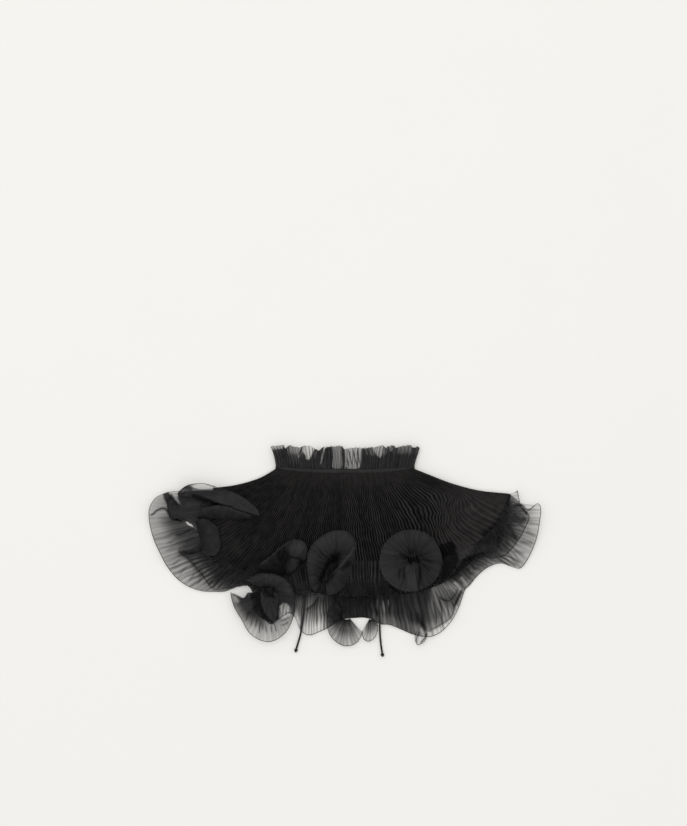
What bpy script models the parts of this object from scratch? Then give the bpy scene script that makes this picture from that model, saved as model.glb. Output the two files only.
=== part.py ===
"""Pleated chiffon collar laid flat, front up: neck frill, neckband, body, curled hem flounce, two ties.

Every table is in millimetres from the middle of the collar: x to the right as it lies, y towards the
neck, z up from the surface that it lies on.
"""
import math

import bmesh
import bpy
import numpy as np

MM = 0.001
MIDDLE = (-0.1, -0.8)         # middle of the collar's outline in the tables' own x and y

# Cloth
CLOTH = 1.0                   # wall of the flounce and its flutes
BODY_CLOTH = 1.2              # wall of the body
BAND_CLOTH = 1.4              # wall of the folded neckband
SEAM = 0.3                    # gap between pieces that are sewn together
SEAM_REACH = 4.0              # a flounce rib that starts this near a hem is sewn to it
BACK_LEVEL = 0.6              # middle of the back's wall, which lies on the surface
FRONT_LEVEL = 6.3             # middle of the front's wall, above the ties

# Neck
NECK_HALF = 83.0              # half the flat width of the neck
BAND_FOOT = 85.5              # lower edge of the neckband at the centre front
BAND_FOOT_RISE = 6.0          # how far that edge rises at the sides
BAND_TOP = 91.0               # upper edge of the neckband at the centre front
BAND_TOP_RISE = 2.5
FRILL_TOP = 119.0             # free edge of the neck frill
FRILL_FLARE = 1.07            # widening of the frill from its seam to its free edge
FRILL_PLEATS = 42
FRILL_RELIEF = 0.75           # height of a frill pleat from its middle
BACK_GAP = 0.8                # half the gap of the centre back opening

# Body pleats
BODY_PLEATS = 60
NECK_RELIEF = 0.3             # height of a pleat from its middle, at the neck and at the hem
HEM_RELIEF = 0.75

# Front body: x, y of each rib at the neck, three stations between, and the hem, and its height
FRONT_RIBS = (
    (-83.0, 91.0, -97.0, 82.5, -112.0, 76.0, -133.0, 71.0, -158.0, 68.0, 2.4),
    (-75.0, 89.2, -92.0, 74.0, -112.0, 62.0, -137.0, 50.0, -163.0, 38.0, 6.1),
    (-66.0, 88.0, -82.0, 66.0, -100.0, 48.0, -125.0, 27.0, -157.0, 6.0, 6.3),
    (-55.0, 86.9, -67.0, 60.0, -82.0, 36.0, -104.0, 8.0, -133.0, -26.0, 6.3),
    (-38.0, 86.0, -45.0, 58.0, -55.0, 28.0, -67.0, -2.0, -84.0, -36.0, 6.3),
    (-18.0, 85.4, -20.0, 58.0, -24.0, 30.0, -30.0, 3.0, -38.0, -25.0, 6.3),
    (2.0, 85.2, 3.0, 58.0, 5.0, 30.0, 7.0, 5.0, 9.0, -20.0, 6.3),
    (22.0, 85.5, 25.0, 58.0, 30.0, 31.0, 36.0, 5.0, 42.0, -20.0, 6.3),
    (41.0, 86.1, 50.0, 60.0, 63.0, 34.0, 75.0, 7.0, 84.0, -20.0, 6.3),
    (56.0, 87.0, 76.0, 66.0, 97.0, 45.0, 106.0, 15.0, 118.0, -15.0, 6.3),
    (66.0, 88.1, 96.0, 72.0, 119.0, 57.0, 126.0, 22.0, 150.0, -2.0, 6.3),
    (75.0, 89.3, 104.0, 77.0, 134.0, 62.0, 146.0, 35.0, 176.0, 18.0, 6.3),
    (80.0, 90.3, 108.0, 79.0, 140.0, 66.5, 166.0, 52.0, 189.0, 40.0, 6.0),
    (83.0, 91.0, 103.0, 83.0, 128.0, 73.5, 160.0, 65.0, 197.0, 61.0, 2.4),
)

# Back body, left and right of the opening: x, y at the neck, between, and at the hem
BACK_LEFT_RIBS = (
    (-83.0, 91.0, -103.0, 74.0, -158.0, 67.0),
    (-72.0, 88.6, -112.0, 60.0, -176.0, 40.0),
    (-58.0, 87.0, -100.0, 42.0, -166.0, -8.0),
    (-44.0, 86.2, -74.0, 30.0, -135.0, -36.0),
    (-28.0, 85.6, -44.0, 20.0, -80.0, -46.0),
    (-14.0, 85.3, -18.0, 15.0, -30.0, -59.0),
    (-0.8, 85.2, 6.0, 15.0, 16.4, -62.0),
)
BACK_RIGHT_RIBS = (
    (0.8, 85.2, 7.6, 15.0, 18.0, -62.0),
    (16.0, 85.3, 26.0, 15.0, 52.0, -60.0),
    (32.0, 85.8, 54.0, 20.0, 92.0, -55.0),
    (48.0, 86.5, 82.0, 32.0, 128.0, -40.0),
    (62.0, 87.6, 104.0, 45.0, 160.0, -13.0),
    (74.0, 89.0, 116.0, 60.0, 190.0, 21.0),
    (83.0, 91.0, 116.0, 68.0, 199.0, 60.0),
)

# Front flounce: x, y, z of each rib at its seam, its middle and its free edge
FRONT_FLOUNCE = (
    (-158.5, 65.0, 3.2, -182.0, 66.0, 8.0, -208.0, 61.0, 6.0),
    (-163.0, 50.0, 5.9, -186.0, 51.0, 7.5, -213.0, 47.0, 4.5),
    (-163.6, 38.0, 6.1, -184.0, 37.0, 9.5, -208.0, 33.0, 4.5),
    (-163.0, 29.0, 6.3, -176.0, 30.0, 9.0, -190.0, 30.0, 6.0),
    (-161.0, 18.0, 6.3, -171.0, 18.0, 9.0, -181.0, 18.0, 6.5),
    (-158.0, 7.0, 6.3, -173.0, 6.0, 8.5, -192.0, 2.0, 5.5),
    (-153.5, -3.0, 6.3, -175.0, -4.0, 7.0, -200.0, -8.0, 4.0),
    (-148.0, -11.0, 6.3, -167.0, -16.0, 7.0, -187.0, -19.0, 3.6),
    (-141.5, -19.0, 6.3, -157.0, -28.0, 7.0, -172.0, -36.0, 3.6),
    (-133.3, -26.5, 6.3, -146.0, -39.0, 7.0, -158.0, -53.0, 3.6),
    (-121.0, -31.5, 6.3, -130.0, -42.0, 7.0, -139.0, -52.0, 4.5),
    (-105.0, -35.2, 6.3, -110.0, -43.0, 7.5, -114.0, -49.0, 6.0),
    (-84.0, -36.5, 6.3, -87.0, -46.0, 7.8, -89.0, -54.0, 7.0),
    (-68.0, -34.4, 6.3, -68.0, -47.0, 7.8, -66.0, -58.0, 7.0),
    (-52.0, -29.6, 6.3, -50.0, -47.0, 7.8, -48.0, -62.0, 7.0),
    (-38.0, -25.5, 6.3, -36.0, -44.0, 7.8, -33.0, -60.0, 6.5),
    (-15.0, -21.6, 6.3, -14.0, -42.0, 7.8, -11.0, -62.0, 6.5),
    (9.0, -20.5, 6.3, 10.0, -42.0, 7.8, 12.0, -63.0, 6.5),
    (36.0, -20.5, 6.3, 36.0, -42.0, 7.8, 36.0, -62.0, 6.5),
    (60.0, -20.5, 6.3, 59.0, -40.0, 7.8, 58.0, -59.0, 7.0),
    (84.0, -20.5, 6.3, 84.0, -40.0, 7.8, 84.0, -58.0, 7.0),
    (104.0, -18.4, 6.3, 108.0, -34.0, 8.0, 111.0, -49.0, 7.5),
    (118.0, -15.5, 6.3, 123.0, -28.0, 11.0, 128.0, -38.0, 9.0),
    (134.0, -9.3, 6.3, 138.0, -15.0, 11.0, 142.0, -20.0, 8.0),
    (150.0, -2.5, 6.3, 155.0, -8.0, 8.0, 160.0, -15.0, 6.0),
    (164.0, 7.2, 6.3, 171.0, -3.0, 7.5, 178.0, -16.0, 5.0),
    (176.2, 17.6, 6.3, 185.0, 3.0, 7.5, 193.0, -12.0, 4.0),
    (183.8, 28.4, 6.2, 195.0, 16.0, 7.5, 207.0, 4.0, 5.0),
    (189.4, 39.8, 6.0, 203.0, 29.0, 8.0, 216.0, 20.0, 6.0),
    (192.8, 48.0, 5.4, 207.0, 41.0, 8.5, 221.0, 34.0, 7.0),
    (195.4, 55.0, 4.2, 204.0, 52.0, 8.0, 211.0, 47.0, 7.0),
    (197.3, 60.7, 3.2, 202.0, 61.0, 6.0, 207.0, 65.0, 9.0),
)

# Back flounce, left and right of the opening, in the same columns
BACK_LEFT_FLOUNCE = (
    (-184.0, 60.0, 0.5, -190.0, 62.0, 0.5, -198.0, 64.0, 0.5),
    (-188.0, 54.0, 0.5, -199.0, 60.0, 1.0, -213.0, 62.5, 3.0),
    (-191.0, 47.0, 0.5, -208.0, 53.0, 1.0, -227.0, 56.0, 6.0),
    (-192.0, 40.0, 0.5, -212.0, 43.0, 1.0, -234.5, 44.0, 8.0),
    (-193.0, 33.0, 0.5, -214.0, 32.0, 1.0, -235.0, 30.0, 6.0),
    (-193.5, 25.0, 0.5, -213.0, 20.0, 0.6, -232.0, 15.0, 3.0),
    (-186.0, 17.0, 0.5, -207.0, 8.0, 0.6, -228.0, 3.0, 3.0),
    (-172.4, 5.0, 0.5, -200.0, -2.0, 0.6, -222.0, -10.0, 5.0),
    (-166.2, -9.0, 0.5, -192.0, -17.0, 0.6, -214.0, -25.0, 3.0),
    (-159.8, -19.0, 0.5, -182.0, -30.0, 0.6, -202.0, -40.0, 1.5),
    (-151.0, -28.0, 0.5, -170.0, -40.0, 0.6, -188.0, -50.0, 2.5),
    (-141.0, -34.2, 0.5, -157.0, -46.0, 0.6, -172.0, -55.5, 1.5),
    (-129.0, -38.0, 0.5, -144.0, -48.0, 0.6, -157.0, -56.5, 1.0),
    (-118.0, -40.2, 0.5, -131.0, -48.0, 0.6, -143.0, -56.0, 1.5),
    (-106.0, -42.2, 0.5, -117.0, -47.0, 0.6, -128.0, -50.0, 1.0),
    (-96.0, -43.9, 0.5, -106.0, -48.0, 0.6, -114.0, -51.5, 0.6),
    (-88.0, -45.3, 0.5, -96.0, -66.0, 0.6, -102.0, -80.0, 1.0),
    (-80.0, -46.5, 0.5, -86.0, -72.0, 0.6, -90.0, -95.0, 1.5),
    (-72.0, -48.9, 0.5, -76.0, -70.0, 0.6, -80.0, -90.0, 1.0),
    (-64.0, -51.3, 0.5, -66.0, -68.0, 0.6, -68.0, -82.0, 0.6),
    (-56.0, -53.5, 0.5, -58.0, -72.0, 0.6, -60.0, -87.0, 0.8),
    (-48.0, -55.6, 0.5, -51.0, -80.0, 0.6, -53.0, -103.0, 1.5),
    (-40.0, -57.6, 0.5, -42.0, -82.0, 0.6, -43.0, -108.5, 3.0),
    (-31.0, -59.4, 0.5, -31.0, -82.0, 0.6, -31.0, -104.5, 2.0),
    (-21.0, -60.3, 0.5, -20.0, -80.0, 0.6, -19.0, -99.0, 0.6),
    (-8.0, -61.4, 0.5, -6.0, -76.0, 0.6, -4.0, -90.0, 0.6),
    (5.0, -62.3, 0.5, 6.0, -75.0, 0.6, 7.0, -88.0, 0.6),
    (16.4, -62.5, 0.5, 18.0, -75.0, 0.6, 19.2, -87.0, 0.6),
)
BACK_RIGHT_FLOUNCE = (
    (18.0, -62.5, 0.5, 19.6, -75.0, 0.6, 20.8, -87.0, 0.6),
    (29.0, -62.4, 0.5, 30.0, -76.0, 0.6, 31.0, -89.0, 0.6),
    (38.0, -61.8, 0.5, 40.0, -78.0, 0.6, 42.0, -95.0, 1.0),
    (48.0, -60.9, 0.5, 50.0, -78.0, 0.6, 53.0, -96.0, 2.5),
    (59.0, -59.8, 0.5, 62.0, -80.0, 0.6, 66.0, -101.0, 1.0),
    (70.0, -58.9, 0.5, 75.0, -83.0, 0.6, 80.0, -107.0, 1.0),
    (81.0, -57.6, 0.5, 86.0, -84.0, 0.6, 92.0, -110.0, 2.5),
    (92.0, -55.5, 0.5, 98.0, -83.0, 0.6, 104.0, -110.0, 3.5),
    (101.0, -53.0, 0.5, 109.0, -79.0, 0.6, 116.0, -104.0, 2.5),
    (110.0, -49.9, 0.5, 119.0, -70.0, 0.6, 128.0, -91.0, 4.0),
    (119.0, -45.8, 0.5, 128.0, -60.0, 0.6, 137.0, -74.0, 2.5),
    (128.0, -40.6, 0.5, 136.0, -48.0, 0.6, 143.5, -55.0, 1.5),
    (136.0, -35.2, 0.5, 143.0, -42.0, 0.6, 150.0, -48.0, 1.0),
    (145.0, -27.8, 0.5, 152.0, -33.0, 0.6, 158.0, -38.0, 1.5),
    (154.0, -19.4, 0.5, 162.0, -24.0, 0.6, 170.0, -28.0, 2.5),
    (163.0, -10.2, 0.5, 174.0, -17.0, 0.6, 186.0, -22.5, 1.5),
    (171.0, -0.8, 0.5, 188.0, -16.0, 0.6, 203.0, -27.5, 1.0),
    (178.0, 6.6, 0.5, 196.0, -9.0, 0.6, 212.0, -27.0, 2.0),
    (184.0, 13.4, 0.5, 204.0, 1.0, 0.6, 222.0, -12.0, 4.0),
    (190.4, 21.0, 0.5, 211.0, 15.0, 0.6, 230.0, 8.0, 6.0),
    (194.6, 31.0, 0.5, 215.0, 31.0, 0.8, 234.0, 30.0, 8.0),
    (197.4, 41.0, 0.5, 217.0, 43.0, 1.0, 235.0, 43.0, 9.0),
    (198.8, 48.0, 0.5, 216.0, 49.0, 1.0, 231.0, 49.0, 8.0),
    (199.4, 54.0, 0.5, 209.0, 49.0, 0.6, 219.0, 41.0, 2.0),
    (199.8, 59.0, 0.5, 204.0, 56.0, 0.5, 208.0, 52.0, 0.5),
)

# Folds of the front flounce that lie back on the body, in the same columns
LEAF_FOLD = (
    (-104.0, 41.0, 9.0, -122.0, 62.0, 13.0, -156.0, 69.5, 10.0),
    (-103.5, 39.0, 9.0, -130.0, 61.0, 15.0, -173.0, 73.0, 13.0),
    (-103.0, 37.5, 9.0, -138.0, 57.0, 16.0, -190.0, 70.5, 15.0),
    (-102.5, 36.0, 9.0, -142.0, 51.0, 16.0, -200.5, 60.0, 14.0),
    (-102.0, 34.0, 9.0, -136.0, 44.0, 14.0, -185.0, 59.0, 11.0),
)
LOWER_LEAF_FOLD = (
    (-178.0, 31.0, 9.2, -174.0, 38.0, 12.0, -170.0, 43.0, 11.0),
    (-163.0, 31.0, 9.2, -159.0, 40.0, 13.0, -156.0, 46.5, 12.0),
    (-148.0, 30.0, 9.2, -144.0, 39.0, 13.0, -142.0, 45.5, 11.5),
    (-132.0, 30.0, 9.2, -130.0, 36.0, 12.0, -129.0, 40.5, 11.0),
    (-114.0, 30.5, 9.2, -113.0, 33.0, 11.0, -112.0, 35.0, 10.5),
)
CRESCENT_FOLD = (
    (-179.0, 27.5, 10.0, -171.0, 34.0, 15.0, -162.0, 28.0, 9.1),
    (-177.0, 18.0, 9.7, -164.0, 28.0, 19.0, -153.5, 20.0, 8.8),
    (-174.0, 8.0, 9.5, -161.0, 12.0, 21.0, -150.5, 8.0, 8.8),
    (-172.0, -2.0, 8.9, -161.0, -4.0, 19.0, -150.5, -5.0, 8.8),
    (-173.0, -10.0, 8.7, -163.0, -15.0, 14.0, -155.0, -13.0, 8.7),
)

# Flutes: rim rows of angle in degrees, reach from the throat, height of the rim and of the bell
RUFFLE_RIM = (
    (158.0, 37.0, 12.0, 12.0),
    (140.0, 33.0, 14.0, 13.0),
    (122.0, 32.0, 15.0, 14.0),
    (103.0, 36.0, 16.0, 15.0),
    (86.0, 44.0, 17.0, 17.0),
    (74.0, 48.5, 17.0, 20.0),
    (62.0, 49.0, 16.0, 20.0),
    (52.0, 43.0, 14.0, 16.0),
    (44.0, 33.0, 12.0, 12.0),
)
LILY_RIM = (
    (179.0, 45.0, 6.0, 10.0),
    (200.0, 44.0, 6.0, 10.0),
    (225.0, 45.0, 6.5, 11.0),
    (248.0, 54.0, 7.0, 12.0),
    (270.0, 58.5, 7.5, 13.0),
    (290.0, 53.0, 9.0, 14.0),
    (312.0, 43.0, 12.0, 16.0),
    (336.0, 35.0, 15.0, 20.0),
    (360.0, 30.0, 17.5, 23.0),
    (392.0, 26.5, 19.0, 25.0),
    (424.0, 23.5, 20.0, 26.0),
    (456.0, 23.5, 20.0, 26.0),
    (484.0, 26.0, 19.0, 25.0),
    (510.0, 31.0, 17.0, 22.0),
)
SLOT_RIM = (
    (236.0, 32.0, 10.0, 12.0),
    (198.0, 27.0, 15.0, 18.0),
    (160.0, 29.0, 18.0, 22.0),
    (126.0, 36.0, 20.0, 24.0),
    (101.0, 41.5, 21.0, 25.0),
    (80.0, 47.5, 21.0, 25.0),
    (62.0, 49.0, 20.0, 25.0),
    (47.0, 44.0, 17.0, 27.0),
    (34.0, 36.0, 12.0, 30.0),
    (10.0, 26.0, 9.6, 31.0),
    (-30.0, 23.5, 9.6, 29.0),
    (-66.0, 27.5, 9.6, 25.0),
    (-96.0, 31.0, 9.4, 18.0),
)
ROUND_RIM = (
    (-104.0, 38.0, 10.5, 10.5),
    (-60.0, 37.0, 13.0, 13.0),
    (-20.0, 34.5, 16.0, 18.0),
    (25.0, 33.0, 19.0, 22.0),
    (70.0, 33.5, 21.0, 24.0),
    (115.0, 35.5, 22.0, 25.0),
    (160.0, 39.0, 22.0, 25.0),
    (200.0, 41.0, 21.0, 25.0),
    (240.0, 40.5, 20.0, 24.0),
    (279.0, 38.5, 19.0, 22.0),
)
LEFT_LOBE_RIM = (
    (128.0, 19.0, 5.0, 9.0),
    (158.0, 22.0, 6.0, 10.0),
    (184.0, 23.5, 7.0, 11.0),
    (212.0, 27.0, 7.0, 11.0),
    (240.0, 32.5, 6.0, 10.0),
    (268.0, 36.5, 4.0, 8.0),
    (290.0, 34.5, 4.0, 8.0),
    (312.0, 27.5, 4.0, 7.0),
)
RIGHT_LOBE_RIM = (
    (240.0, 20.0, 3.0, 6.0),
    (252.0, 28.0, 4.0, 7.0),
    (266.0, 30.0, 5.0, 8.0),
    (282.0, 25.0, 5.0, 8.0),
    (298.0, 17.0, 4.0, 7.0),
    (312.0, 10.0, 3.0, 6.0),
)
TAIL_RIM = (
    (281.0, 20.0, 5.0, 5.0),
    (272.0, 27.0, 5.0, 6.0),
    (258.0, 33.0, 5.5, 7.0),
    (249.0, 29.0, 5.0, 7.0),
    (241.0, 21.0, 4.0, 5.0),
)

# Flutes: x, y, z of the throat, its half length and half width, its tilt, and its rise in one turn
FLUTES = {
    "flute_ruffle": (RUFFLE_RIM, (-72.0, -41.0, 8.3), (5.0, 5.0, 0.0), 0.0),
    "flute_lily": (LILY_RIM, (-92.0, -58.0, 8.2), (7.0, 6.0, 0.0), 0.0),
    "flute_slot": (SLOT_RIM, (-18.0, -30.0, 8.75), (17.0, 4.0, 62.0), 0.0),
    "flute_round": (ROUND_RIM, (82.0, -17.0, 8.0), (4.0, 4.0, 0.0), 4.0),
    "flute_left_lobe": (LEFT_LOBE_RIM, (2.0, -85.0, 2.0), (6.0, 5.0, 0.0), 0.0),
    "flute_right_lobe": (RIGHT_LOBE_RIM, (31.0, -86.0, 2.0), (4.0, 4.0, 0.0), 0.0),
    "flute_tail": (TAIL_RIM, (95.0, -88.0, 3.2), (3.0, 3.0, 0.0), 0.0),
}
THROAT_GROWTH = 4.0           # widening of a coiled throat in one turn

# Ties: the route of each cord from the centre back of the neck, between the layers, to its knot
TIE = 2.4                     # diameter of a tie
LEFT_TIE = (
    (-4.0, 82.0, 2.9), (-8.0, 60.0, 2.9), (-14.0, 38.0, 2.9), (-22.0, 16.0, 2.9), (-31.0, -6.0, 2.9),
    (-39.0, -28.0, 2.9), (-45.0, -48.0, 2.9), (-48.0, -66.0, 2.9), (-50.0, -84.0, 3.3),
    (-51.6, -97.0, 4.2), (-53.5, -108.0, 3.4), (-56.0, -117.0, 1.7), (-58.2, -124.6, 1.25),
)
RIGHT_TIE = (
    (4.0, 82.0, 2.9), (9.0, 60.0, 2.9), (15.0, 38.0, 2.9), (21.0, 16.0, 2.9), (27.0, -6.0, 2.9),
    (33.0, -28.0, 2.9), (37.0, -48.0, 2.9), (40.0, -66.0, 2.9), (41.5, -84.0, 3.2),
    (41.6, -97.0, 3.4), (42.0, -108.0, 2.2), (43.0, -119.0, 1.35), (44.6, -130.0, 1.25),
)
TIE_POINTS = 34
TIE_SIDES = 2
KNOT = (2.6, 1.9)             # half length and half width of a knot
BLACK = (0.012, 0.012, 0.014)
BAND_BLACK = (0.02, 0.02, 0.022)


def clear_scene():
    """Take every object out of the scene."""
    for thing in list(bpy.data.objects):
        bpy.data.objects.remove(thing, do_unlink=True)


def cloth_material(name, colour, roughness):
    """A plain cloth finish."""
    material = bpy.data.materials.new(name)
    material.use_nodes = True
    shader = material.node_tree.nodes["Principled BSDF"]
    shader.inputs["Base Color"].default_value = (*colour, 1.0)
    shader.inputs["Roughness"].default_value = roughness
    shader.inputs["Metallic"].default_value = 0.0
    return material


def through(rows, place):
    """The row at a place between the rows, counted from 0, on a smooth curve through them."""
    last = len(rows) - 1
    start = min(int(place), last - 1)
    part = place - start
    here, there = rows[start], rows[start + 1]
    before = rows[start - 1] if start else 2 * here - there
    after = rows[start + 2] if start + 2 <= last else 2 * there - here
    return 0.5 * (
        2 * here
        + (there - before) * part
        + (2 * before - 5 * here + 4 * there - after) * part ** 2
        + (3 * here - before - 3 * there + after) * part ** 3
    )


def places_along(marks, count):
    """Places of count + 1 ribs, evenly spaced along the curve through the marks."""
    fine = np.linspace(0.0, len(marks) - 1.0, 40 * (len(marks) - 1) + 1)
    line = np.array([through(marks, place) for place in fine])
    run = np.concatenate([[0.0], np.cumsum(np.linalg.norm(np.diff(line, axis=0), axis=1))])
    return np.interp(np.linspace(0.0, run[-1], count + 1), run, fine)


def arch(root, bell, edge, part):
    """A point on the curve from root to edge that bends towards bell."""
    return (1 - part) ** 2 * root + 2 * part * (1 - part) * bell + part ** 2 * edge


def normals(grid):
    """Unit normals of a grid of points, counted across and then down."""
    across = np.gradient(grid, axis=0)
    down = np.gradient(grid, axis=1)
    normal = np.cross(down, across)
    return normal / np.linalg.norm(normal, axis=2, keepdims=True)


def wall(name, grid, thickness, material, relief=None):
    """A closed wall of cloth round a grid of middle points, whose ribs relief raises along the normal."""
    normal = normals(grid)
    lift = np.zeros(grid.shape[:2]) if relief is None else relief
    upper = grid + normal * (lift + thickness / 2)[..., None]
    lower = grid + normal * (lift - thickness / 2)[..., None]
    columns, rows = grid.shape[:2]
    mesh = bmesh.new()
    sides = []
    for side in (upper, lower):
        sides.append([[mesh.verts.new(to_metres(side[i, j])) for j in range(rows)] for i in range(columns)])
    top, bottom = sides
    for i in range(columns - 1):
        for j in range(rows - 1):
            for face in (top, bottom):
                mesh.faces.new((face[i][j], face[i][j + 1], face[i + 1][j + 1], face[i + 1][j]))
    rim = [(i, 0) for i in range(columns)] + [(columns - 1, j) for j in range(1, rows)]
    rim += [(i, rows - 1) for i in range(columns - 2, -1, -1)] + [(0, j) for j in range(rows - 2, 0, -1)]
    for here, there in zip(rim, rim[1:] + rim[:1]):
        mesh.faces.new((
            top[here[0]][here[1]], top[there[0]][there[1]],
            bottom[there[0]][there[1]], bottom[here[0]][here[1]],
        ))
    bmesh.ops.recalc_face_normals(mesh, faces=mesh.faces)
    return add_object(name, mesh, material)


def to_metres(point):
    """A point of the tables in metres from the collar's own origin."""
    return ((point[0] - MIDDLE[0]) * MM, (point[1] - MIDDLE[1]) * MM, point[2] * MM)


def add_object(name, mesh, material):
    """Put a finished mesh into the scene under its own name."""
    data = bpy.data.meshes.new(name)
    mesh.to_mesh(data)
    mesh.free()
    data.materials.append(material)
    piece = bpy.data.objects.new(name, data)
    bpy.context.collection.objects.link(piece)
    data.shade_smooth()
    data.set_sharp_from_angle(angle=math.radians(40))
    return piece


def zigzag(columns):
    """Ridges and valleys in turn, one column each, a little uneven."""
    count = np.arange(columns)
    uneven = 0.78 + 0.22 * np.sin(0.9 * count) * np.sin(0.37 * count + 1.0)
    return np.where(count % 2, -1.0, 1.0) * uneven


def fade(columns, ends):
    """1 over the sheet, falling to 0 over its first and last few columns."""
    count = np.arange(columns)
    return np.clip(np.minimum(count, columns - 1 - count) / ends, 0.0, 1.0)


def sewn_root(root, bell, hem):
    """The start of a flounce rib, moved to just outside the hem where it is near one."""
    starts, ways = hem[:-1, :2], np.diff(hem[:, :2], axis=0)
    parts = np.clip(np.sum((root[:2] - starts) * ways, axis=1) / np.sum(ways ** 2, axis=1), 0.0, 1.0)
    feet = starts + ways * parts[:, None]
    gaps = np.linalg.norm(feet - root[:2], axis=1)
    nearest = int(np.argmin(gaps))
    if gaps[nearest] > SEAM_REACH:
        return root
    outward = np.array([-ways[nearest][1], ways[nearest][0]])
    outward *= np.sign(outward @ (bell[:2] - feet[nearest])) / np.linalg.norm(outward)
    height = hem[nearest, 2] + (hem[nearest + 1, 2] - hem[nearest, 2]) * parts[nearest]
    return np.array([*(feet[nearest] + 2 * SEAM * outward), height])


def strip(name, table, pleats, stations, relief, material, hem=None):
    """A sheet of cloth whose ribs run from a seam past a bell to a free edge."""
    rows = np.array(table)
    count = 2 * pleats
    grid = []
    for place in places_along(rows[:, 6:8], count):
        rib = through(rows, place)
        root, bell, edge = rib[:3], rib[3:6], rib[6:]
        if hem is not None:
            root = sewn_root(root, bell, hem)
        grid.append([arch(root, bell, edge, part) for part in np.linspace(0.0, 1.0, stations + 1)])
    shape = np.sin(np.pi * np.linspace(0.0, 1.0, stations + 1)) ** 0.7
    lift = relief * np.outer(zigzag(count + 1) * fade(count + 1, 2), shape)
    return wall(name, np.array(grid), CLOTH, material, lift)


def flute(name, rim, throat, slot, rise, pleats, stations, relief, material):
    """A bell of cloth round a throat: its ribs leave the throat steeply and flare to the rim."""
    rows = np.array(rim)
    angles = np.radians(rows[:, 0])
    marks = np.column_stack([rows[:, 1] * np.cos(angles), rows[:, 1] * np.sin(angles)])
    half_length, half_width, tilt = slot[0], slot[1], math.radians(slot[2])
    count = 2 * pleats
    grid = []
    for place in places_along(marks, count):
        angle, reach, height, bell_height = through(rows, place)
        turn = abs(angle - rows[0, 0]) / 360.0
        angle = math.radians(angle)
        growth = THROAT_GROWTH * turn * (rise > 0.0)
        along = (half_length + growth) * math.cos(angle - tilt)
        aside = (half_width + growth) * math.sin(angle - tilt)
        root = np.array([
            throat[0] + along * math.cos(tilt) - aside * math.sin(tilt),
            throat[1] + along * math.sin(tilt) + aside * math.cos(tilt),
            throat[2] + rise * turn,
        ])
        edge = np.array([throat[0] + reach * math.cos(angle), throat[1] + reach * math.sin(angle), height])
        bell = root + 0.3 * (edge - root)
        bell[2] = bell_height
        grid.append([arch(root, bell, edge, part) for part in np.linspace(0.0, 1.0, stations + 1)])
    shape = np.sin(np.pi * np.linspace(0.0, 1.0, stations + 1)) ** 0.7
    lift = relief * np.outer(zigzag(count + 1) * fade(count + 1, 2), shape)
    return wall(name, np.array(grid), CLOTH, material, lift)


def front_body(material):
    """The front of the collar, pleated from the neck to the hem, and the line of its hem."""
    rows = np.array(FRONT_RIBS)
    count = 2 * BODY_PLEATS
    stations = 7
    grid = []
    for place in places_along(rows[:, 8:10], count):
        rib = through(rows, place)
        points = np.column_stack([rib[0:10:2], rib[1:10:2], np.full(5, rib[10])])
        grid.append([through(points, 4.0 * part) for part in np.linspace(0.0, 1.0, stations + 1)])
    relief = np.linspace(NECK_RELIEF, HEM_RELIEF, stations + 1)
    lift = np.outer(zigzag(count + 1) * fade(count + 1, 4), relief)
    grid = np.array(grid)
    wall("body_front", grid, BODY_CLOTH, material, lift)
    return grid[:, -1]


def back_body(name, table, material):
    """One side of the back, which lies flat, and the line of its hem."""
    rows = np.array(table)
    grid = []
    for place in np.linspace(0.0, len(rows) - 1.0, 2 * len(rows) - 1):
        rib = np.column_stack([through(rows, place).reshape(3, 2), np.full(3, BACK_LEVEL)])
        grid.append([arch(rib[0], rib[1], rib[2], part) for part in np.linspace(0.0, 1.0, 5)])
    grid = np.array(grid)
    wall(name, grid, BODY_CLOTH, material)
    return grid[:, -1] - np.array([0.0, 0.0, BACK_LEVEL - CLOTH / 2])


def neck_loop(half, back, front, count):
    """x, z of a loop round the flat neck, open at the centre back, counted from the left of the gap."""
    radius = (front - back) / 2
    straight = half - radius
    run = 4 * straight + 2 * math.pi * radius - 2 * BACK_GAP
    places = []
    for at in np.linspace(BACK_GAP, BACK_GAP + run, count + 1):
        if at < straight:
            places.append((-at, back))
        elif at < straight + math.pi * radius:
            bend = (at - straight) / radius
            places.append((-straight - radius * math.sin(bend), back + radius * (1 - math.cos(bend))))
        elif at < 3 * straight + math.pi * radius:
            places.append((at - 2 * straight - math.pi * radius, front))
        elif at < 3 * straight + 2 * math.pi * radius:
            bend = (at - 3 * straight - math.pi * radius) / radius
            places.append((straight + radius * math.sin(bend), front - radius * (1 - math.cos(bend))))
        else:
            places.append((4 * straight + 2 * math.pi * radius - at, back))
    return places


def band_foot(x):
    """Lower edge of the neckband."""
    return BAND_FOOT + BAND_FOOT_RISE * (abs(x) / NECK_HALF) ** 3


def band_top(x):
    """Upper edge of the neckband."""
    return BAND_TOP + BAND_TOP_RISE * (abs(x) / NECK_HALF) ** 2


def neckband(material):
    """The neckband, one strip round the neck."""
    back = BAND_CLOTH / 2
    grid = []
    for x, z in neck_loop(NECK_HALF, back, FRONT_LEVEL, 64):
        foot, top = band_foot(x) + SEAM, band_top(x) - SEAM
        grid.append([np.array([x, y, z]) for y in (foot, top)])
    return wall("neckband", np.array(grid)[::-1], BAND_CLOTH, material)


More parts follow.
